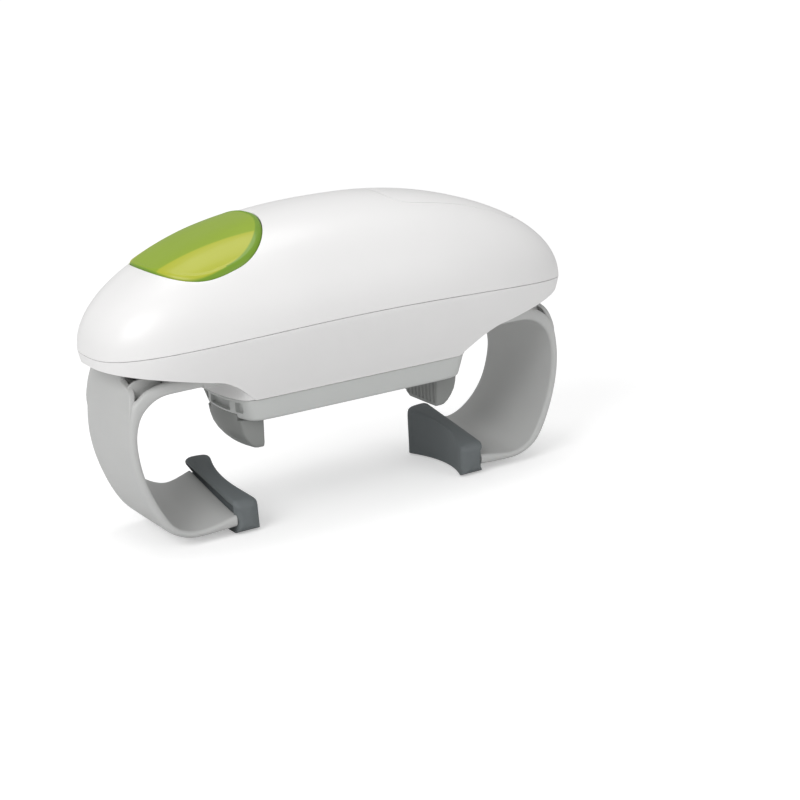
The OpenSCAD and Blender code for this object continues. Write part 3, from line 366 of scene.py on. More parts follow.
def band_along_x(material, low, high, colour):
    inside = material.node_tree.nodes.new("ShaderNodeMath")
    inside.operation = "COMPARE"
    inside.inputs[1].default_value = (low + high) / 2
    inside.inputs[2].default_value = (high - low) / 2
    material.node_tree.links.new(object_axes(material)["X"], inside.inputs[0])
    lay_over(material, inside.outputs[0], colour)

cells_low, cells_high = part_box("battery_cells")
band_along_x(cell_sleeve, cells_high[0] - 0.016, cells_high[0] - 0.004, (0.55, 0.36, 0.12))
print("cells from %.4f to %.4f along X" % (cells_low[0], cells_high[0]))

# %% [markdown]
# Every moulded skin below starts as a flat grid that is rolled into a sleeve: one
# side of the grid runs round the casing, the other climbs it. A function says
# where each grid point goes. Merging doubles then closes the seam and the pole.

# %% Helpers that make a piece
def rolled_grid(columns, rows, place):
    bm = bmesh.new()
    bmesh.ops.create_grid(bm, x_segments=columns, y_segments=rows, size=0.5)
    for vert in bm.verts:
        vert.co = Vector(place(vert.co.x + 0.5, (vert.co.y + 0.5) * rows)) * MM
    bmesh.ops.remove_doubles(bm, verts=bm.verts, dist=1e-6)
    bmesh.ops.dissolve_degenerate(bm, dist=1e-6, edges=bm.edges)
    bmesh.ops.recalc_face_normals(bm, faces=bm.faces)
    return bm

def link_mesh(name, bm):
    mesh = bpy.data.meshes.new(name)
    bm.to_mesh(mesh)
    bm.free()
    item = bpy.data.objects.new(name, mesh)
    scene.collection.objects.link(item)
    return item

def push(bm, vector):
    # Extrude every face and slide the new end along a vector
    pushed = bmesh.ops.extrude_face_region(bm, geom=bm.faces[:])["geom"]
    far = [part for part in pushed if isinstance(part, bmesh.types.BMVert)]
    bmesh.ops.translate(bm, vec=vector, verts=far)
    bmesh.ops.recalc_face_normals(bm, faces=bm.faces)

def loft(name, rings):
    # Bridge ring to ring and close both ends
    bm = bmesh.new()
    loops = []
    for points in rings:
        ring = [bm.verts.new(Vector(point) * MM) for point in points]
        count = len(ring)
        loops.append([bm.edges.new((ring[i], ring[(i + 1) % count])) for i in range(count)])
    for near, far in zip(loops, loops[1:]):
        bmesh.ops.bridge_loops(bm, edges=near + far)
    for loop in (loops[0], loops[-1]):
        bmesh.ops.edgeloop_fill(bm, edges=loop)
    bmesh.ops.recalc_face_normals(bm, faces=bm.faces)
    return link_mesh(name, bm)

print("helpers: rolled_grid, push and loft make meshes")

# %% [markdown]
# Modifiers do the cutting and the rounding. Each is baked at once, so the next
# step works on a finished mesh. `dress` gives a piece its finish and shading, hangs it
# on the body it moves with and hides the CAD nodes it stands in for.

# %% Helpers that cut, round and dress a piece
def bake_modifiers(item):
    graph = bpy.context.evaluated_depsgraph_get()
    mesh = bpy.data.meshes.new_from_object(item.evaluated_get(graph))
    mesh.name = item.name
    item.modifiers.clear()
    item.data = mesh
    return item

def carve(item, cutter, how="DIFFERENCE"):
    cut = item.modifiers.new("cut", "BOOLEAN")
    cut.operation = how
    cut.solver = "EXACT"
    cut.object = cutter
    bake_modifiers(item)
    bpy.data.objects.remove(cutter)
    return item

def soften(item, width, angle=40, segments=2):
    edge = item.modifiers.new("soft_edges", "BEVEL")
    edge.width = width * MM
    edge.segments = segments
    edge.limit_method = "ANGLE"
    edge.angle_limit = radians(angle)
    edge.harden_normals = False
    edge.use_clamp_overlap = True
    return bake_modifiers(item)

def shade(item, angle=35):
    mesh = item.data
    mesh.polygons.foreach_set("use_smooth", [True] * len(mesh.polygons))
    mesh.set_sharp_from_angle(angle=radians(angle))
    return item

def dress(item, body, slot, material, *nodes, angle=35):
    item.data.materials.clear()
    item.data.materials.append(material)
    shade(item, angle)
    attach(item, body)
    if nodes:
        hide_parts(*nodes)
    print("%s: %d faces on %s" % (item.name, len(item.data.polygons), body))
    return item

print("helpers: carve, soften, shade and dress")

# %% [markdown]
# The casing's form is a superellipse from above and nearly an ellipse in section.
# Its parting line arches, high in the middle and low at the tips. These are the
# CAD model's own numbers, so the smooth skins land on its solids.

# %% The casing's form
BODY_L, BODY_W = 215.0, 80.0
PLAN_N, DOME_N = 2.8, 2.1
STAND_H, PART_RISE, DOME_H = 79.0, 6.5, 41.0
PART_MID = STAND_H + PART_RISE
HUB_DROP, HUB_R, HUB_W = 24.4, 56.0, 45.0
HUB_Z = STAND_H - HUB_DROP
HUB_H = PART_MID - HUB_Z
SKIRT_TIP, SKIRT_ROOT = 4.0, 12.3
HUB_CORNER_X = sqrt(HUB_R ** 2 - (HUB_W / 2) ** 2)
WALL = 2.2
GAP = 0.3
COLUMNS = 192

def power(value, exponent):
    return abs(value) ** exponent * (1 if value >= 0 else -1)

def part_z(x):
    return PART_MID - PART_RISE * (x / (BODY_L / 2)) ** 2

def dome_point(turn, climb, grow=0.0):
    share = max(cos(climb), 0.0) ** (2 / DOME_N)
    x = (BODY_L / 2 + grow) * power(cos(turn), 2 / PLAN_N) * share
    y = (BODY_W / 2 + grow) * power(sin(turn), 2 / PLAN_N) * share
    return x, y, part_z(x) + (DOME_H + grow) * power(sin(climb), 2 / DOME_N)

def dome_top(x, y):
    reach = (abs(x) / (BODY_L / 2)) ** PLAN_N + (abs(y) / (BODY_W / 2)) ** PLAN_N
    level = 1 - min(reach, 1) ** (DOME_N / PLAN_N)
    return part_z(x) + DOME_H * level ** (1 / DOME_N)

def edge_drop(x):
    turn_x = HUB_R + 14
    if abs(x) >= turn_x:
        return SKIRT_ROOT - (SKIRT_ROOT - SKIRT_TIP) * (abs(x) - turn_x) / (BODY_L / 2 - turn_x)
    near = min((turn_x - abs(x)) / (turn_x - HUB_CORNER_X), 1)
    return SKIRT_ROOT + (HUB_DROP - SKIRT_ROOT) * near ** 1.7

def bowl_point(turn, depth_share, grow=0.0):
    x0 = BODY_L / 2 * power(cos(turn), 2 / PLAN_N)
    depth = part_z(x0) - STAND_H + edge_drop(x0)
    sunk = depth_share * depth / HUB_H
    x = (BODY_L / 2 + grow - 7 * sunk ** 1.2) * power(cos(turn), 2 / PLAN_N)
    y = (BODY_W / 2 + grow - (BODY_W - HUB_W) / 2 * sunk ** 1.15) * power(sin(turn), 2 / PLAN_N)
    return x, y, part_z(x0) - depth_share * depth

print("dome over the middle: %.1f mm" % dome_top(0, 0))

# %% [markdown]
# A closed dome and a closed bowl are the two forms that the shells are cut from.
# Their first and last rows fold in to the casing's middle line, which closes them
# without a cap of one great face.

# %% Closed dome and closed bowl
def dome_solid(name, grow=0.0, base=0.0, rows=44):
    def place(turn, row):
        angle = 2 * pi * turn
        if row < 0.5:
            x, y, z = dome_point(angle, 0, grow)
            return x, 0, z + base
        if row < 1.5:
            x, y, z = dome_point(angle, 0, grow)
            return x, y, z + base
        return dome_point(angle, pi / 2 * ((row - 1) / (rows - 1)) ** 1.25, grow)
    return link_mesh(name, rolled_grid(COLUMNS, rows, place))

def bowl_solid(name, grow=0.0, lift=0.0, sink=0.0, low=-1e3, high=1e3, rows=26):
    def place(turn, row):
        share = min(max((row - 1) / (rows - 2), 0), 1)
        x, y, z = bowl_point(2 * pi * turn, share, grow)
        if row < 0.5 or row > rows - 0.5:
            y = 0
        z = z + (lift if share == 0 else 0) - (sink if share == 1 else 0)
        return x, y, min(max(z, low), high)
    return link_mesh(name, rolled_grid(COLUMNS, rows, place))

def block(name, low, high):
    bm = bmesh.new()
    bmesh.ops.create_cube(bm, size=1)
    low, high = Vector(low) * MM, Vector(high) * MM
    bmesh.ops.scale(bm, vec=high - low, verts=bm.verts)
    bmesh.ops.translate(bm, vec=(low + high) / 2, verts=bm.verts)
    return link_mesh(name, bm)

def side_block(name, side, near, far, widths, heights):
    # A block on one side of the middle, from near to far along X
    left, right = sorted((side * near, side * far))
    return block(name, (left, widths[0], heights[0]), (right, widths[1], heights[1]))

def drum(name, centre, radius, low, high, sides=96):
    bm = bmesh.new()
    bmesh.ops.create_cone(bm, cap_ends=True, segments=sides, radius1=radius * MM,
                          radius2=radius * MM, depth=(high - low) * MM)
    middle = Vector((centre[0], centre[1], (low + high) / 2))
    bmesh.ops.translate(bm, vec=middle * MM, verts=bm.verts)
    return link_mesh(name, bm)

# %% [markdown]
# The button's oval and the door's rounded rectangle are prisms that cut the dome.
# The oval leans with the slope it lies on, so its prism is turned about Y first.

# %% Cutters for the button and the door
BUTTON_X, BUTTON_L, BUTTON_W = 58.5, 50.5, 56.6
BUTTON_Z = dome_top(-BUTTON_X, 0)
BUTTON_TILT = atan2(dome_top(-BUTTON_X + 6, 0) - dome_top(-BUTTON_X - 6, 0), 12)
DOOR_L, DOOR_W, DOOR_CORNER = 62.0, 36.0, 9.0
BAY_X = 22.5 + DOOR_L / 2
DOOR_PRISM_H = 60.0
BUTTON_PLACE = Matrix.Translation(Vector((-BUTTON_X, 0, BUTTON_Z)) * MM)
ON_BUTTON = BUTTON_PLACE @ Matrix.Rotation(-BUTTON_TILT, 4, "Y")

def button_edge(c, s, grow=0.0):
    # Fuller towards the casing's tip than towards its middle
    round_off = 0.93 if c > 0 else 0.74
    return Vector(((BUTTON_L / 2 + grow) * power(c, round_off),
                   (BUTTON_W / 2 + grow) * power(s, round_off)))

def oval_prism(name, grow, low, high):
    bm = bmesh.new()
    ring = bmesh.ops.create_circle(bm, segments=160, radius=1)["verts"]
    for vert in ring:
        u, v = button_edge(vert.co.x, vert.co.y, grow)
        vert.co = Vector((u, v, low)) * MM
    bmesh.ops.edgeloop_fill(bm, edges=bm.edges)
    push(bm, (0, 0, (high - low) * MM))
    bmesh.ops.transform(bm, matrix=ON_BUTTON, verts=bm.verts)
    return link_mesh(name, bm)

def door_prism(name, grow):
    bm = bmesh.new()
    half = Vector((DOOR_L / 2 + grow, DOOR_W / 2 + grow))
    bmesh.ops.create_grid(bm, x_segments=1, y_segments=1, size=1)
    bmesh.ops.scale(bm, vec=(half.x * MM, half.y * MM, 1), verts=bm.verts)
    bmesh.ops.bevel(bm, geom=bm.verts[:], offset=(DOOR_CORNER + grow) * MM, segments=10,
                    offset_type="OFFSET", profile=0.5, affect="VERTICES", material=-1)
    bmesh.ops.translate(bm, vec=(BAY_X * MM, 0, PART_MID * MM), verts=bm.verts)
    push(bm, (0, 0, DOOR_PRISM_H * MM))
    return link_mesh(name, bm)

print("button leans %.1f degrees" % (BUTTON_TILT * 180 / pi))

# %% [markdown]
# The upper shell is the dome less a smaller dome, which leaves the wall. The two
# openings are cut next. A hair's gap at its rim and rounded edges make the fine
# dark parting line that runs round the casing.

# %% Upper shell
SEAM = 0.12
SOFT_EDGE = 0.3
HOLE_LOW, HOLE_HIGH = -17.5, 14
HINGE_X = BAY_X + DOOR_L / 2 - 1.5
HINGE_Z = dome_top(HINGE_X, 0) - 1.4
LUG_R, LUG_IN, LUG_OUT, LUG_ROOT_L = 1.5, 4.3, 7.2, 2.6

def shell_of_dome(name):
    shell = dome_solid(name, base=SEAM)
    return carve(shell, dome_solid("dome_inside", grow=-WALL, base=-1.0))

upper = shell_of_dome("upper_shell")
carve(upper, oval_prism("button_hole", GAP, HOLE_LOW, HOLE_HIGH))
carve(upper, door_prism("door_hole", GAP))
soften(upper, SOFT_EDGE, angle=50)
dress(upper, "casing", "white_casing", casing_white, "upper_casing")

# %% [markdown]
# The lower shell carries a shallow deck at both ends and a deep hub in the middle.
# Below the deck the ends are hollow from underneath, where the arms pass. The
# hub's two round ends stand upright on the band below them, so a drum cut flat
# along both sides is joined on, and slots above it let the arms' bars through.

# %% Lower shell
BAR_TOP = STAND_H - 11.2
BAR_T = 5.0
BAR_Z = BAR_TOP - BAR_T
RECESS_Z = BAR_TOP + 2.7
DECK_Z = RECESS_Z + WALL
ARM_W = 39.0
SLOT_DIP = 1.2
SPIGOT_HOLE_R = 10.05

HUB_END_R = HUB_R - 0.1

def round_end(turn, radius, half, corner=18):
    # A circle cut flat along both sides, with rounded corners
    a = 2 * pi * turn
    slab = half / max(abs(sin(a)), 1e-4)
    r = (radius ** -corner + slab ** -corner) ** (-1 / corner)
    return r * cos(a), r * sin(a)

def hub_half(z):
    sunk = (part_z(50) - z) / HUB_H
    return (BODY_W / 2 - (BODY_W - HUB_W) / 2 * sunk ** 1.15) * 0.956 - 0.1

def hub_drum(name, low, high, rows=8):
    def place(turn, row):
        z = low + (high - low) * min(max((row - 1) / (rows - 2), 0), 1)
        x, y = round_end(turn, HUB_END_R, hub_half(z))
        if row < 0.5 or row > rows - 0.5:
            return x * 0.2, y * 0.2, z
        return x, y, z
    hub = rolled_grid(256, rows, place)
    for z in (low, high):
        rim = [edge for edge in hub.edges
               if edge.is_boundary and abs(edge.verts[0].co.z / MM - z) < 1e-3]
        bmesh.ops.edgeloop_fill(hub, edges=rim)
    bmesh.ops.recalc_face_normals(hub, faces=hub.faces)
    return link_mesh(name, hub)

lower = bowl_solid("lower_shell", lift=-SEAM)
carve(lower, hub_drum("hub_ends", HUB_Z, BAR_Z - 1.5), "UNION")
well = drum("well", (0, 0), HUB_R - WALL, HUB_Z + WALL, PART_MID + 5, sides=128)
carve(well, bowl_solid("well_limit", grow=-WALL, lift=8, sink=6), "INTERSECT")
carve(lower, well)
carve(lower, bowl_solid("deck_space", grow=-WALL, lift=8, low=DECK_Z))
under = bowl_solid("under_space", grow=-WALL, sink=8, high=RECESS_Z)
carve(under, drum("hub_core", (0, 0), HUB_R, 0, 120, sides=128))
carve(lower, under)
for side in (-1, 1):
    carve(lower, side_block("bar_slot", side, HUB_CORNER_X - 8, HUB_R + 5,
                            (-ARM_W / 2 - GAP, ARM_W / 2 + GAP),
                            (BAR_Z - GAP - SLOT_DIP, BAR_TOP + GAP)))
carve(lower, drum("spigot_hole", (0, 0), SPIGOT_HOLE_R, HUB_Z - 1, HUB_Z + 9))
soften(lower, SOFT_EDGE, angle=50)
dress(lower, "casing", "white_casing", casing_white, "lower_casing")

# %% [markdown]
# The door is the same dome wall inside the rounded rectangle, a little smaller
# than its hole, so the gap round it shows as a thin line.

# %% Battery door
door = shell_of_dome("door_skin")
carve(door, door_prism("door_form", 0.0), "INTERSECT")
for side in (-1, 1):
    ends = sorted((side * (LUG_IN - GAP), side * (LUG_OUT + GAP)))
    carve(door, block("lug_notch", (HINGE_X - LUG_R - GAP, ends[0], HINGE_Z - 6),
                      (HINGE_X + 8, ends[1], HINGE_Z + 6)))
soften(door, SOFT_EDGE, angle=50)
dress(door, "battery_door", "white_casing", casing_white, "battery_door")

# %% [markdown]
# The door turns on a pin at its outer end. Two small barrels hold that pin, trimmed
# to the dome's form so that they never stand out of it.

# %% Hinge lugs on the upper shell
hinge_line = Matrix.Translation(Vector((HINGE_X, 0, HINGE_Z)) * MM) @ Matrix.Rotation(-pi / 2, 4, "X")
for side, label in ((-1, "front"), (1, "back")):
    lug = dome_solid("hinge_lug_" + label)
    ends = sorted((side * LUG_IN, side * LUG_OUT))
    barrel = drum("lug_barrel", (0, 0), LUG_R, ends[0], ends[1], sides=32)
    barrel.data.transform(hinge_line)
    root = block("lug_root", (HINGE_X, ends[0], HINGE_Z - LUG_R),
                 (HINGE_X + LUG_ROOT_L, ends[1], HINGE_Z + LUG_R))
    carve(barrel, root, "UNION")
    carve(lug, barrel, "INTERSECT")
    dress(lug, "casing", "white_casing", casing_white)

# %% [markdown]
# The button follows the dome's skin but stands a little proud of it. A shallow
# dish for the thumb runs along its middle, two creases spread from its outer end,
# and beyond each crease a facet falls to a bevelled rim. Rows of a rolled grid
# start under the middle, line the hollow skirt, climb its outside, cross the
# bevel and run in over the top.

# %% Button cap
BUTTON_T = 3.0
SKIRT_DEPTH = 13.3
SKIRT_T = 1.6
CREASE_SPREAD = 0.176
CREASE_V = 15.4
DISH_LOW, CREASE_HIGH = 0.45, 1.0
FACET_FALL = 0.045

def on_skin(u, v, height):
    w = 0.0
    for _ in range(12):
        point = ON_BUTTON @ (Vector((u, v, w)) * MM) / MM
        w += (dome_top(point.x, point.y) + height - point.z) * cos(BUTTON_TILT)
    return ON_BUTTON @ (Vector((u, v, w)) * MM) / MM

def crease_at(u):
    return CREASE_V + CREASE_SPREAD * u

def top_height(u, v):
    crease = crease_at(u)
    if abs(v) < crease:
        return DISH_LOW + (CREASE_HIGH - DISH_LOW) * (v / crease) ** 2
    return CREASE_HIGH - FACET_FALL * (abs(v) - crease)

INSIDE = 1 - 2 * SKIRT_T / BUTTON_W
under_rows = [(0.0, -BUTTON_T), (0.5, -BUTTON_T), (INSIDE, -BUTTON_T)]
skirt_rows = [INSIDE, 1.0]
rim_rows = [(1.0, -1.5), (1.0, -0.8), (0.998, -0.3), (0.992, 0.1), (0.98, 0.42), (0.964, 0.64),
            (0.948, 0.76)]
TOP_ROWS = 40
RIM_START = len(under_rows) + len(skirt_rows)
TOP_START = RIM_START + len(rim_rows)

def button_point(turn, row):
    index = int(round(row))
    a = 2 * pi * turn
    across = button_edge(cos(a), sin(a))
    if index < len(under_rows):
        share, height = under_rows[index]
        return on_skin(*(across * share), height)
    if index < RIM_START:
        u, v = across * skirt_rows[index - len(under_rows)]
        return ON_BUTTON @ (Vector((u, v, -SKIRT_DEPTH)) * MM) / MM
    if index < TOP_START:
        share, height = rim_rows[index - RIM_START]
        return on_skin(*(across * share), height)
    share = 0.935 * (1 - (index - TOP_START) / (TOP_ROWS - 1))
    u, v = across * share
    return on_skin(u, v, top_height(u, v))

cap = link_mesh("button_cap", rolled_grid(160, TOP_START + TOP_ROWS - 1, button_point))
# The cap's material carries the painted highlight on its facets and painted shade on its rim
dress(cap, "button", "green_button", cap_green_painted_light_and_shade, "button", angle=50)

# %% [markdown]
# A short stem under the cap leads the thumb's push down to the switch.

# %% Button stem
STEM_L, STEM_R, STEM_TOP = 13.0, 2.6, -2.0
stem = drum("button_stem", (0, 0), STEM_R, -STEM_L, STEM_TOP, sides=48)
stem.data.transform(ON_BUTTON)
soften(stem, SOFT_EDGE)
dress(stem, "button", "green_button", button_green)

# %% [markdown]
# Each arm is a wide moulded band bent into a C, thicker along its back edge. It is
# lofted: a ring of corner points stands at each station of the bend, and
# bridge_loops joins ring to ring. A subdivision surface then rounds the section.
# Past the straight bar the band also widens towards the back.

# %% Line of the arm band
ARM_BACK = 24.0
ARM_STATIONS = [
    ((66, 67.8), (66, 62.8), (66, 62.8)),
    ((77, 67.8), (77, 62.8), (77, 62.8)),
    ((86, 67.6), (85.5, 62.4), (83, 62)),
    ((93.5, 65), (91, 60), (88, 58.5)),
    ((98.8, 59), (95.2, 55.5), (91, 52)),
    ((101, 49), (97.3, 48), (92.5, 44.5)),
    ((100.6, 38), (96.8, 38), (91.5, 37)),
    ((98, 27), (94.4, 28), (88.5, 28.5)),
    ((93.6, 16), (90.2, 18), (83.5, 21.5)),
    ((88.3, 8), (85.6, 10.6), (77.5, 16.6)),
    ((81, 3.8), (80, 7), (71.5, 14)),
    ((73, 2.8), (72.5, 6.2), (66.5, 14)),
    ((58.8, 3.4), (58.8, 8.5), (58.8, 16.5)),
]
STATION_STEPS = 6
ARM_HALF = ARM_W / 2

def curve_at(p0, p1, p2, p3, t):
    return [0.5 * (2 * b + (c - a) * t + (2 * a - 5 * b + 4 * c - d) * t * t
                   + (3 * b - a - 3 * c + d) * t ** 3) for a, b, c, d in zip(p0, p1, p2, p3)]

def arm_line(which):
    points = [station[which] for station in ARM_STATIONS]
    last = len(points) - 1
    line = []
    for i in range(last):
        for step in range(STATION_STEPS):
            line.append(curve_at(points[max(i - 1, 0)], points[i], points[i + 1],
                                 points[min(i + 2, last)], step / STATION_STEPS))
    line.append(points[last])
    return [Vector(p) for p in line]

def band_reach(station):
    return ARM_HALF + (ARM_BACK - ARM_HALF) * min(max((station - 1.8) / 1.6, 0), 1)

print("arm line has %d points" % len(arm_line(0)))

# %% [markdown]
# A cross-section is a ring of twelve corner points. Near the top corner its outer
# side bulges a little, to meet the upright skin without a step.

# %% Loft the arm band
def along(points, z):
    for (z0, v0), (z1, v1) in zip(points, points[1:]):
        if z <= z1:
            return v0 + (v1 - v0) * (z - z0) / (z1 - z0)
    return points[-1][1]

def ease(low, high, value):
    t = min(max((value - low) / (high - low), 0), 1)
    return t * t * (3 - 2 * t)

# Outer line of the arm's upright skin, as (height, distance)
CREST = RECESS_Z - GAP
SKIN_OUT = [(44, 101.1), (46.5, 101.1), (49, 101.02), (52, 100.8), (55, 100.42), (58, 99.95),
            (60.5, 99.4), (63, 98.8), (65, 98.15), (67, 97.4), (68.5, 96.85), (CREST, 96.2)]

def ring_at(station, outer, front, back_edge, reach):
    # Corner points of one cross-section, as (distance, width, height)
    soft, rim = 1.1, 2.4
    bulge = max(along(SKIN_OUT, outer.y) - outer.x, 0) if outer.y > 40 else 0
    bulge *= ease(3.3, 3.7, station) * (1 - ease(5.2, 6, station))
    full = outer + Vector((bulge, 0))
    out_f = (front - outer).normalized() * soft
    out_b = (back_edge - outer).normalized() * soft
    dish = (front - outer).normalized() * 0.7
    span = ARM_HALF + reach
    return [
        (outer + (full - outer) * 0.15, -ARM_HALF + soft), (full, -ARM_HALF + 3.6),
        (full, reach - span / 3), (full, reach - soft),
        (full + out_b, reach), (back_edge - out_b, reach), (back_edge, reach - soft),
        (back_edge - dish, reach - rim - 1.2), (front - dish, -ARM_HALF + rim + 1.2),
        (front, -ARM_HALF + soft), (front - out_f, -ARM_HALF), (outer + out_f, -ARM_HALF),
    ]

def lofted_band(name, side):
    rings = []
    lines = list(zip(arm_line(0), arm_line(1), arm_line(2)))
    lines.append(tuple(p - Vector((0.4, 0)) for p in lines[-1]))
    for step, (outer, front, back_edge) in enumerate(lines):
        station = step / STATION_STEPS
        corners = ring_at(station, outer, front, back_edge, band_reach(station))
        rings.append([(side * p[0], y, p[1]) for p, y in corners])
    band = loft(name, rings)
    smooth = band.modifiers.new("round_section", "SUBSURF")
    smooth.levels = smooth.render_levels = 2
    return bake_modifiers(band)

# %% [markdown]
# At its top corner the arm isn't solid. A shallow pocket lies behind the front
# edge, and a thin wall stands behind the pocket. Beyond the wall the corner is
# open under an upright skin, which carries the outer face on up to the casing.
# Plates are drawn in X and Z and pushed along Y, like the slices of a loaf.

# %% Pocket, opening and upright skin
WALL_Y, WALL_HALF = -12.0, 0.6
SKIN_T, FOOT_SINK = 2.4, 1.2
# Front edge of the upright skin, as (height, width): it leans forward from the
# casing to the wall, then runs down to the band's front edge
SKIN_FRONT = [(46.5, -18.3), (57, -18.3), (60, -17.9), (62.5, -17.2), (64.5, -16.2), (65.8, -14.8),
              (66.9, -12.2), (67.6, -8.5), (68.5, -4.8), (CREST, -4.2)]
SKIN_LEVELS = [46.5, 49, 52, 55, 57, 58.5, 60, 61.3, 62.5, 63.5, 64.5, 65.2, 65.8, 66.4, 66.9, 67.2,
               67.6, 68, 68.5, 69.3, CREST]

def plate(name, side, outline, y_low, y_high):
    bm = bmesh.new()
    ring = [bm.verts.new(Vector((side * x, y_low, z)) * MM) for x, z in outline]
    bm.faces.new(ring)
    push(bm, (0, (y_high - y_low) * MM, 0))
    return link_mesh(name, bm)

def hollow_outline(first, last, depth):
    outer, front = arm_line(0), arm_line(1)
    low, high = int(first * STATION_STEPS), int(last * STATION_STEPS)
    inward = [(f - o).normalized() for o, f in zip(outer, front)]
    floor = [outer[i] + inward[i] * depth for i in range(low, high + 1)]
    clear = [outer[i] - inward[i] * 3 for i in range(high, low - 1, -1)]
    return floor + clear

def upright_skin(name, side):
    rings = []
    for z in SKIN_LEVELS:
        # Its foot sinks into the band, so no step shows at the back edge
        sunk = FOOT_SINK * (1 - ease(46.5, 58, z))
        outer, front = along(SKIN_OUT, z) - sunk, along(SKIN_FRONT, z)
        inner, rear = outer - SKIN_T, ARM_BACK - 0.1 - sunk
        rings.append([(side * x, y, z) for x, y in (
            (outer, front), (outer, 2), (outer, rear), (inner, rear), (inner, 2), (inner, front))])
    return soften(loft(name, rings), 0.5, angle=50, segments=3)

def corner_wall(name, side):
    outline = [(77, 66), (86, 65.8), (91, 62), (95, 57), (97.2, 55), (98.6, 60), (98.2, 63.5),
               (97.7, 65.4), (97, 66.9), (96, 68.1), (94.3, 69), (91.8, 69.5), (88.5, 69.5),
               (85.5, 68.8), (83.2, 67.6), (77, 67.4)]
    return soften(plate(name, side, outline, WALL_Y - WALL_HALF, WALL_Y + WALL_HALF), 0.3, angle=30)

def back_wall(name, side):
    outline = [(86, 66), (97, 50), (99, 60), (97.8, 64.5), (96, 68), (95.3, CREST), (89, CREST),
               (86, 67.6)]
    return soften(plate(name, side, outline, ARM_BACK - 2.4, ARM_BACK - 0.2), 0.4, angle=30)

# %% [markdown]
# The rails and the rack of an arm are plain machined-looking shapes that the CAD
# already has right. A copy of the CAD piece is merged, and cut off where the
# lofted band begins.

# %% Build both arms
RACK_END = 68.5

def merged_copy(node, name):
    source = bpy.data.objects[node]
    bm = bmesh.new()
    bm.from_mesh(source.data)
    bmesh.ops.remove_doubles(bm, verts=bm.verts, dist=1e-6)
    bmesh.ops.dissolve_limit(bm, angle_limit=radians(0.5), verts=bm.verts, edges=bm.edges)
    return link_mesh(name, bm)

for side, word in ((-1, "left"), (1, "right")):
    body = word + "_arm"
    band = lofted_band(body + "_band", side)
    pocket = plate("pocket", side, hollow_outline(1.75, 3.5, 2.0), -ARM_HALF + 2.2, WALL_Y)
    carve(band, soften(pocket, 0.7, angle=60))
    carve(band, plate("opening", side, hollow_outline(2, 3.25, 3.2), WALL_Y, ARM_BACK - 3))
    carve(band, side_block("bar_pocket", side, 72, 84, (-ARM_HALF + 6, ARM_HALF - 6),
                           (BAR_Z + 2.2, 75)))
    dress(band, body, "light_grey_moulding", arm_grey, word + "_arm", angle=40)
    dress(upright_skin(body + "_upright_skin", side), body, "light_grey_moulding", arm_grey, angle=40)
    dress(corner_wall(body + "_corner_wall", side), body, "light_grey_moulding", arm_grey)
    dress(back_wall(body + "_back_wall", side), body, "light_grey_moulding", arm_grey)
    rack = merged_copy(body, body + "_rack")
    carve(rack, side_block("rack_limit", side, RACK_END, -40, (-40, 40), (50, 90)), "INTERSECT")
    soften(rack, 0.15, angle=50, segments=1)
    dress(rack, body, "light_grey_moulding", arm_grey)

# %% [markdown]
# A rubber pad sits on each arm's end, lower at the front. Its section is a block
# with a lip that curls out over a groove, and its face is hollowed to the curve
# of a jar, which leaves a wing at each end. The sheet rolls round the section in
# one direction and runs from wing to wing in the other, and a soft maximum keeps
# the edge between face and top round, as rubber comes out of a mould.

# %% Rubber pads
PAD_H, PAD_TILT = 17.6, radians(10.5)
PAD_Y = (ARM_BACK - ARM_HALF) / 2
PAD_LOW, PAD_HIGH = -ARM_HALF - 0.8, ARM_BACK + 0.8
JAR_R, SADDLE_X = 43.0, 53.0
PAD_SECTION = [
    (58.7, -6), (58.7, 4), (58.7, 10.2), (57.6, 10.6), (56.0, 11.4), (55.2, 12.7), (55.2, 14.2),
    (55.9, 15.2), (57.2, 15.6), (58.3, 15.5), (59.1, 15.3), (59.7, 15.5), (59.8, 16.1), (59.4, 16.8),
    (58.7, 17.2), (57.8, 17.5), (56.4, PAD_H), (53.4, 17.5), (50.6, 17.1), (48.6, 16.1), (47.3, 14.4),
    (46.6, 11.6), (46.3, 8), (46.2, 4), (46.2, 0), (46.2, -6), (52, -6),
]
SECTION_STEPS = 4

def closed_curve(points, steps):
    count = len(points)
    return [curve_at(points[i - 1], points[i], points[(i + 1) % count],
                     points[(i + 2) % count], step / steps)
            for i in range(count) for step in range(steps)]

pad_curve = closed_curve(PAD_SECTION, SECTION_STEPS)

def soft_max(a, b, blend):
    return (a + b + sqrt((a - b) ** 2 + blend * blend)) / 2

def face_limit(y):
    jar = SADDLE_X - JAR_R + sqrt(JAR_R ** 2 - (y - PAD_Y) ** 2)
    near_end = min(y - PAD_LOW, PAD_HIGH - y)
    share = min(max(near_end / 6.5, 0.0), 1.0)
    nose = 46.2 + 4.6 * (1 - sqrt(1 - (1 - share) ** 2))
    return soft_max(jar, nose, 1.2)

PAD_ROWS = 64
FRONT_ROUND, BACK_ROUND = 3.4, 2.0

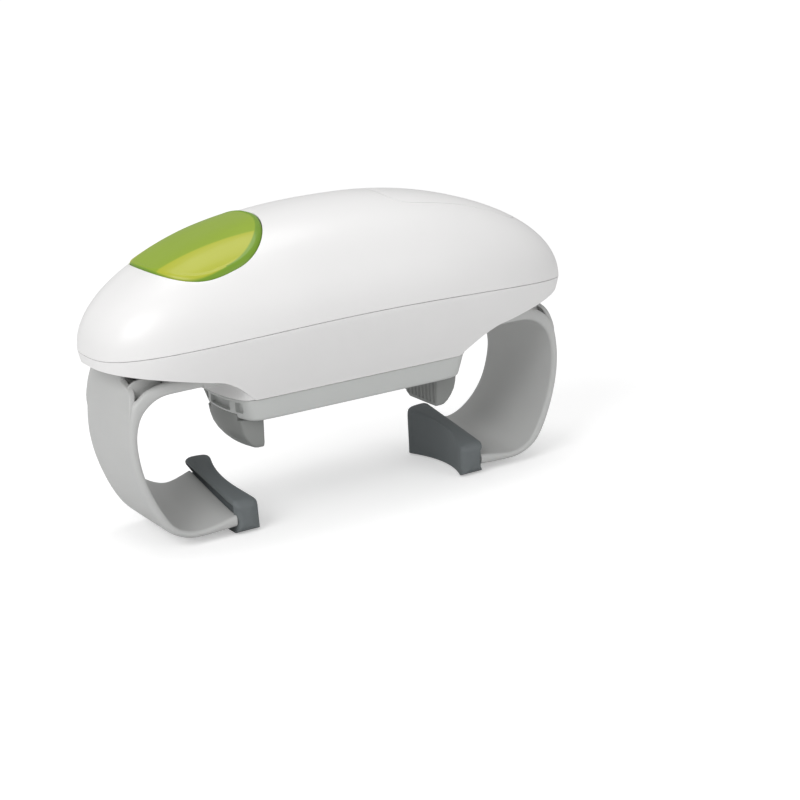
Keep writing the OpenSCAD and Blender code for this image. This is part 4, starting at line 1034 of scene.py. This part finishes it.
def pad_point(turn, row, side):
    share = row / PAD_ROWS
    x, z = pad_curve[int(round(turn * len(pad_curve))) % len(pad_curve)]
    y = PAD_LOW + (PAD_HIGH - PAD_LOW) * (0.5 - 0.5 * cos(pi * share))
    near_end, end_round = min((y - PAD_LOW, FRONT_ROUND), (PAD_HIGH - y, BACK_ROUND))
    shrink = end_round * (1 - sqrt(1 - (1 - min(near_end / end_round, 1.0)) ** 2))
    if 55 < x < 60 and 10 < z < 15.7:
        # The groove under the lip stops short of the front end
        x += (59.2 - x) * (1 - ease(-17.2, -15.2, y))
    x = soft_max(x, face_limit(y), 1.6)
    z = soft_max((y - PAD_Y) * sin(PAD_TILT) / cos(PAD_TILT) + z / cos(PAD_TILT), 0.35, 0.7)
    middle = Vector((54.5, 8.0))
    inward = (middle - Vector((x, z))).normalized() * shrink
    x, z = x + inward.x, z + inward.y
    if row < 0.5 or row > PAD_ROWS - 0.5:
        x, z = 54.5, 8.0 + (y - PAD_Y) * 0.15
    return side * x, y, max(z, 0.02)

for side, word in ((-1, "left"), (1, "right")):
    pad = link_mesh(word + "_pad_rubber", rolled_grid(
        len(pad_curve), PAD_ROWS, lambda turn, row: pad_point(turn, row, side)))
    dress(pad, word + "_arm", "grey_rubber", pad_rubber, word + "_pad", angle=50)

# %% [markdown]
# The turntable's band is round at both ends and straight along its sides, with
# rounded corners between. A power mean of the two radii gives that outline. It is
# hollow below, and at each end three blind pockets lie in a shallow recess.

# %% Turntable
BAND_TOP = HUB_Z - GAP
BAND_H, BAND_TAPER = 9.3, 3.0
BAND_Z = BAND_TOP - BAND_H
BAND_R, BAND_W = HUB_R - 0.5, HUB_W - 1.0
BAND_SKIN, BAND_ROOF = 1.8, 2.5
HOLLOW_END = 48.3
RECESS_FOOT, RECESS_HEAD, RECESS_DEEP, RECESS_HALF = 2.6, 1.2, 1.9, 17.2
POCKET_FLOOR = 51.2
END_POCKETS = ((0, 8.4), (15.3, 2.3), (-15.3, 2.3))  # turn in degrees, half width

def band_outline(turn, z, grow):
    rise = (z - BAND_Z) / BAND_H
    return round_end(turn, BAND_R - BAND_TAPER * (1 - rise) + grow, BAND_W / 2 - (1 - rise) + grow)

def band_form(name, grow=0.0, low=BAND_Z, high=BAND_TOP, edge=1.4):
    steps = [(0.0, low, 0), (0.85, low, 0)]
    for k in range(5):
        bend = pi / 2 * k / 4
        steps.append((1.0, low + edge * (1 - cos(bend)), edge * (1 - sin(bend))))
    steps += [(1.0, (low + high) / 2, 0)]
    for k in range(5):
        bend = pi / 2 * k / 4
        steps.append((1.0, high - edge * 0.3 * (1 - sin(bend)), edge * 0.3 * (1 - cos(bend))))
    steps += [(0.85, high, 0), (0.0, high, 0)]
    def place(turn, row):
        share, z, inset = steps[int(round(row))]
        x, y = band_outline(turn, z, grow - inset)
        return x * share, y * share, z
    return link_mesh(name, rolled_grid(256, len(steps) - 1, place))

carrier = band_form("turntable_band")
hollow = band_form("band_hollow", grow=-BAND_SKIN, low=BAND_Z - 1, high=BAND_TOP - BAND_ROOF,
                   edge=0.2)
hollow_limit = block("hollow_limit", (-HOLLOW_END, -40, 30), (HOLLOW_END, 40, 60))
carve(carrier, carve(hollow, hollow_limit, "INTERSECT"))
recess = drum("recess", (0, 0), 60, BAND_Z + RECESS_FOOT, BAND_TOP - RECESS_HEAD)
carve(recess, drum("recess_floor", (0, 0), BAND_R - RECESS_DEEP, 30, 60, sides=192))
recess_limit = block("recess_limit", (-70, -RECESS_HALF, 30), (70, RECESS_HALF, 60))
carve(carrier, carve(recess, recess_limit, "INTERSECT"))
for side in (-1, 1):
    for turn, half in END_POCKETS:
        pocket = side_block("end_pocket", side, POCKET_FLOOR, 62, (-half, half),
                            (BAND_Z + 3.2, BAND_TOP - 2.0))
        soften(pocket, 0.5, angle=60)
        pocket.data.transform(Matrix.Rotation(radians(turn), 4, "Z"))
        carve(carrier, pocket)
    carve(carrier, side_block("jaw_way", side, 40, 60, (-12, 12), (BAND_Z - 1, BAND_Z + 2.3)))
dress(carrier, "turntable", "light_grey_moulding", band_grey, "jaw_carrier", angle=30)

# %% [markdown]
# Inside the band the carrier's spigot and screw posts stay as the CAD has them.

# %% Spigot and posts of the carrier
core = merged_copy("jaw_carrier", "carrier_core")
carve(core, drum("core_limit", (0, 0), 20.4, BAND_Z + 1, HUB_Z + 20), "INTERSECT")
dress(core, "turntable", "light_grey_moulding", band_grey)

# %% [markdown]
# A lid jaw is a hooked claw. Seen from the end it stands upright at the front and
# flares at the back; seen from the front its belly swells out and runs back in to
# the tip. Rings stacked from tip to top give that form, and a bevel rounds the
# upright edges. A neck fills the slot in the band above it, and nine grooves bite
# into its inner face.

# %% Lid jaws
JAW_X, JAW_DROP, JAW_W = 41.0, 13.4, 27.0
JAW_TOP, JAW_TIP = BAND_Z - GAP, BAND_Z - JAW_DROP
JAW_OUT = BAND_R - BAND_TAPER + 0.5
CLAW_LEVELS = [  # share of the height, outer radius, front edge, back edge
    (0.0, JAW_X + 4.2, -JAW_W / 2 + 1.0, JAW_W / 2 - 6.0),
    (0.045, JAW_X + 6.2, -JAW_W / 2 + 0.5, JAW_W / 2 - 4.6),
    (0.16, JAW_OUT - 4.2, -JAW_W / 2, JAW_W / 2 - 2.2),
    (0.32, JAW_OUT - 2.5, -JAW_W / 2 - 0.1, JAW_W / 2 + 0.2),
    (0.52, JAW_OUT - 1.1, -JAW_W / 2 - 0.3, JAW_W / 2 + 2.0),
    (0.75, JAW_OUT - 0.35, -JAW_W / 2 - 0.45, JAW_W / 2 + 3.8),
    (1.0, JAW_OUT, -JAW_W / 2 - 0.6, JAW_W / 2 + 5.5),
]
ARC_STEPS = 16
NECK_HALF = 11.4
GROOVE_STEP, GROOVE_HALF = 2.8, 0.55

def claw(name, side):
    rings = []
    for share, radius, front, rear in CLAW_LEVELS:
        z = JAW_TIP + (JAW_TOP - JAW_TIP) * share
        places = [(JAW_X, front), (JAW_X, (front + rear) / 2), (JAW_X, rear)]
        for k in range(ARC_STEPS + 1):
            y = rear + (front - rear) * k / ARC_STEPS
            places.append((sqrt(radius ** 2 - y ** 2), y))
        rings.append([(side * x, y, z) for x, y in places])
    item = soften(loft(name, rings), 0.8, angle=42, segments=4)
    neck = side_block("neck", side, JAW_X + 1, 60, (-NECK_HALF, NECK_HALF),
                      (JAW_TOP - 0.8, BAND_Z + 2.0))
    carve(neck, drum("neck_limit", (0, 0), JAW_OUT - 0.02, 30, 60, sides=192), "INTERSECT")
    carve(item, neck, "UNION")
    for i in range(-4, 5):
        groove = block("groove", (-GROOVE_HALF, -GROOVE_HALF, JAW_TIP + 1.6),
                       (GROOVE_HALF, GROOVE_HALF, JAW_TOP - 1.8))
        place = Matrix.Translation(Vector((side * (JAW_X - 0.1), i * GROOVE_STEP, 0)) * MM)
        groove.data.transform(place @ Matrix.Rotation(pi / 4, 4, "Z"))
        carve(item, groove)
    return item

for side, word in ((-1, "left"), (1, "right")):
    body = word + "_jaw"
    dress(claw(body + "_claw", side), body, "mid_grey_jaw", jaw_grey, body, angle=40)
    runner = merged_copy(body, body + "_runner")
    carve(runner, block("runner_limit", (-46, -40, BAND_Z + 1.5), (46, 40, 80)), "INTERSECT")
    dress(runner, body, "mid_grey_jaw", jaw_grey)

# %% [markdown]
# Everything else keeps its CAD shape. Each node takes the finish that the record
# names for it.

# %% Finishes for the CAD pieces that stay
SLOT_FINISH = {
    "white_casing": casing_white,
    "green_button": button_green,
    "light_grey_moulding": inner_grey,
    "mid_grey_jaw": jaw_grey,
    "grey_rubber": pad_rubber,
    "steel": plain_steel,
    "gear_plastic": gear_plastic,
    "brass": turned_brass,
    "black_plastic": switch_black,
    "cell_jacket": cell_sleeve,
}
slot_of = {part["node"]: part["material_slot"] for part in frame["record"]["subparts"]}
for node, slot_name in slot_of.items():
    mesh = bpy.data.objects[node].data
    if not mesh.materials:
        mesh.materials.append(SLOT_FINISH[slot_name])
    for index in range(len(mesh.materials)):
        mesh.materials[index] = SLOT_FINISH[slot_name]
bpy.data.objects["carrier_cover"].data.materials[0] = band_grey
print("finished CAD nodes:", len(slot_of))
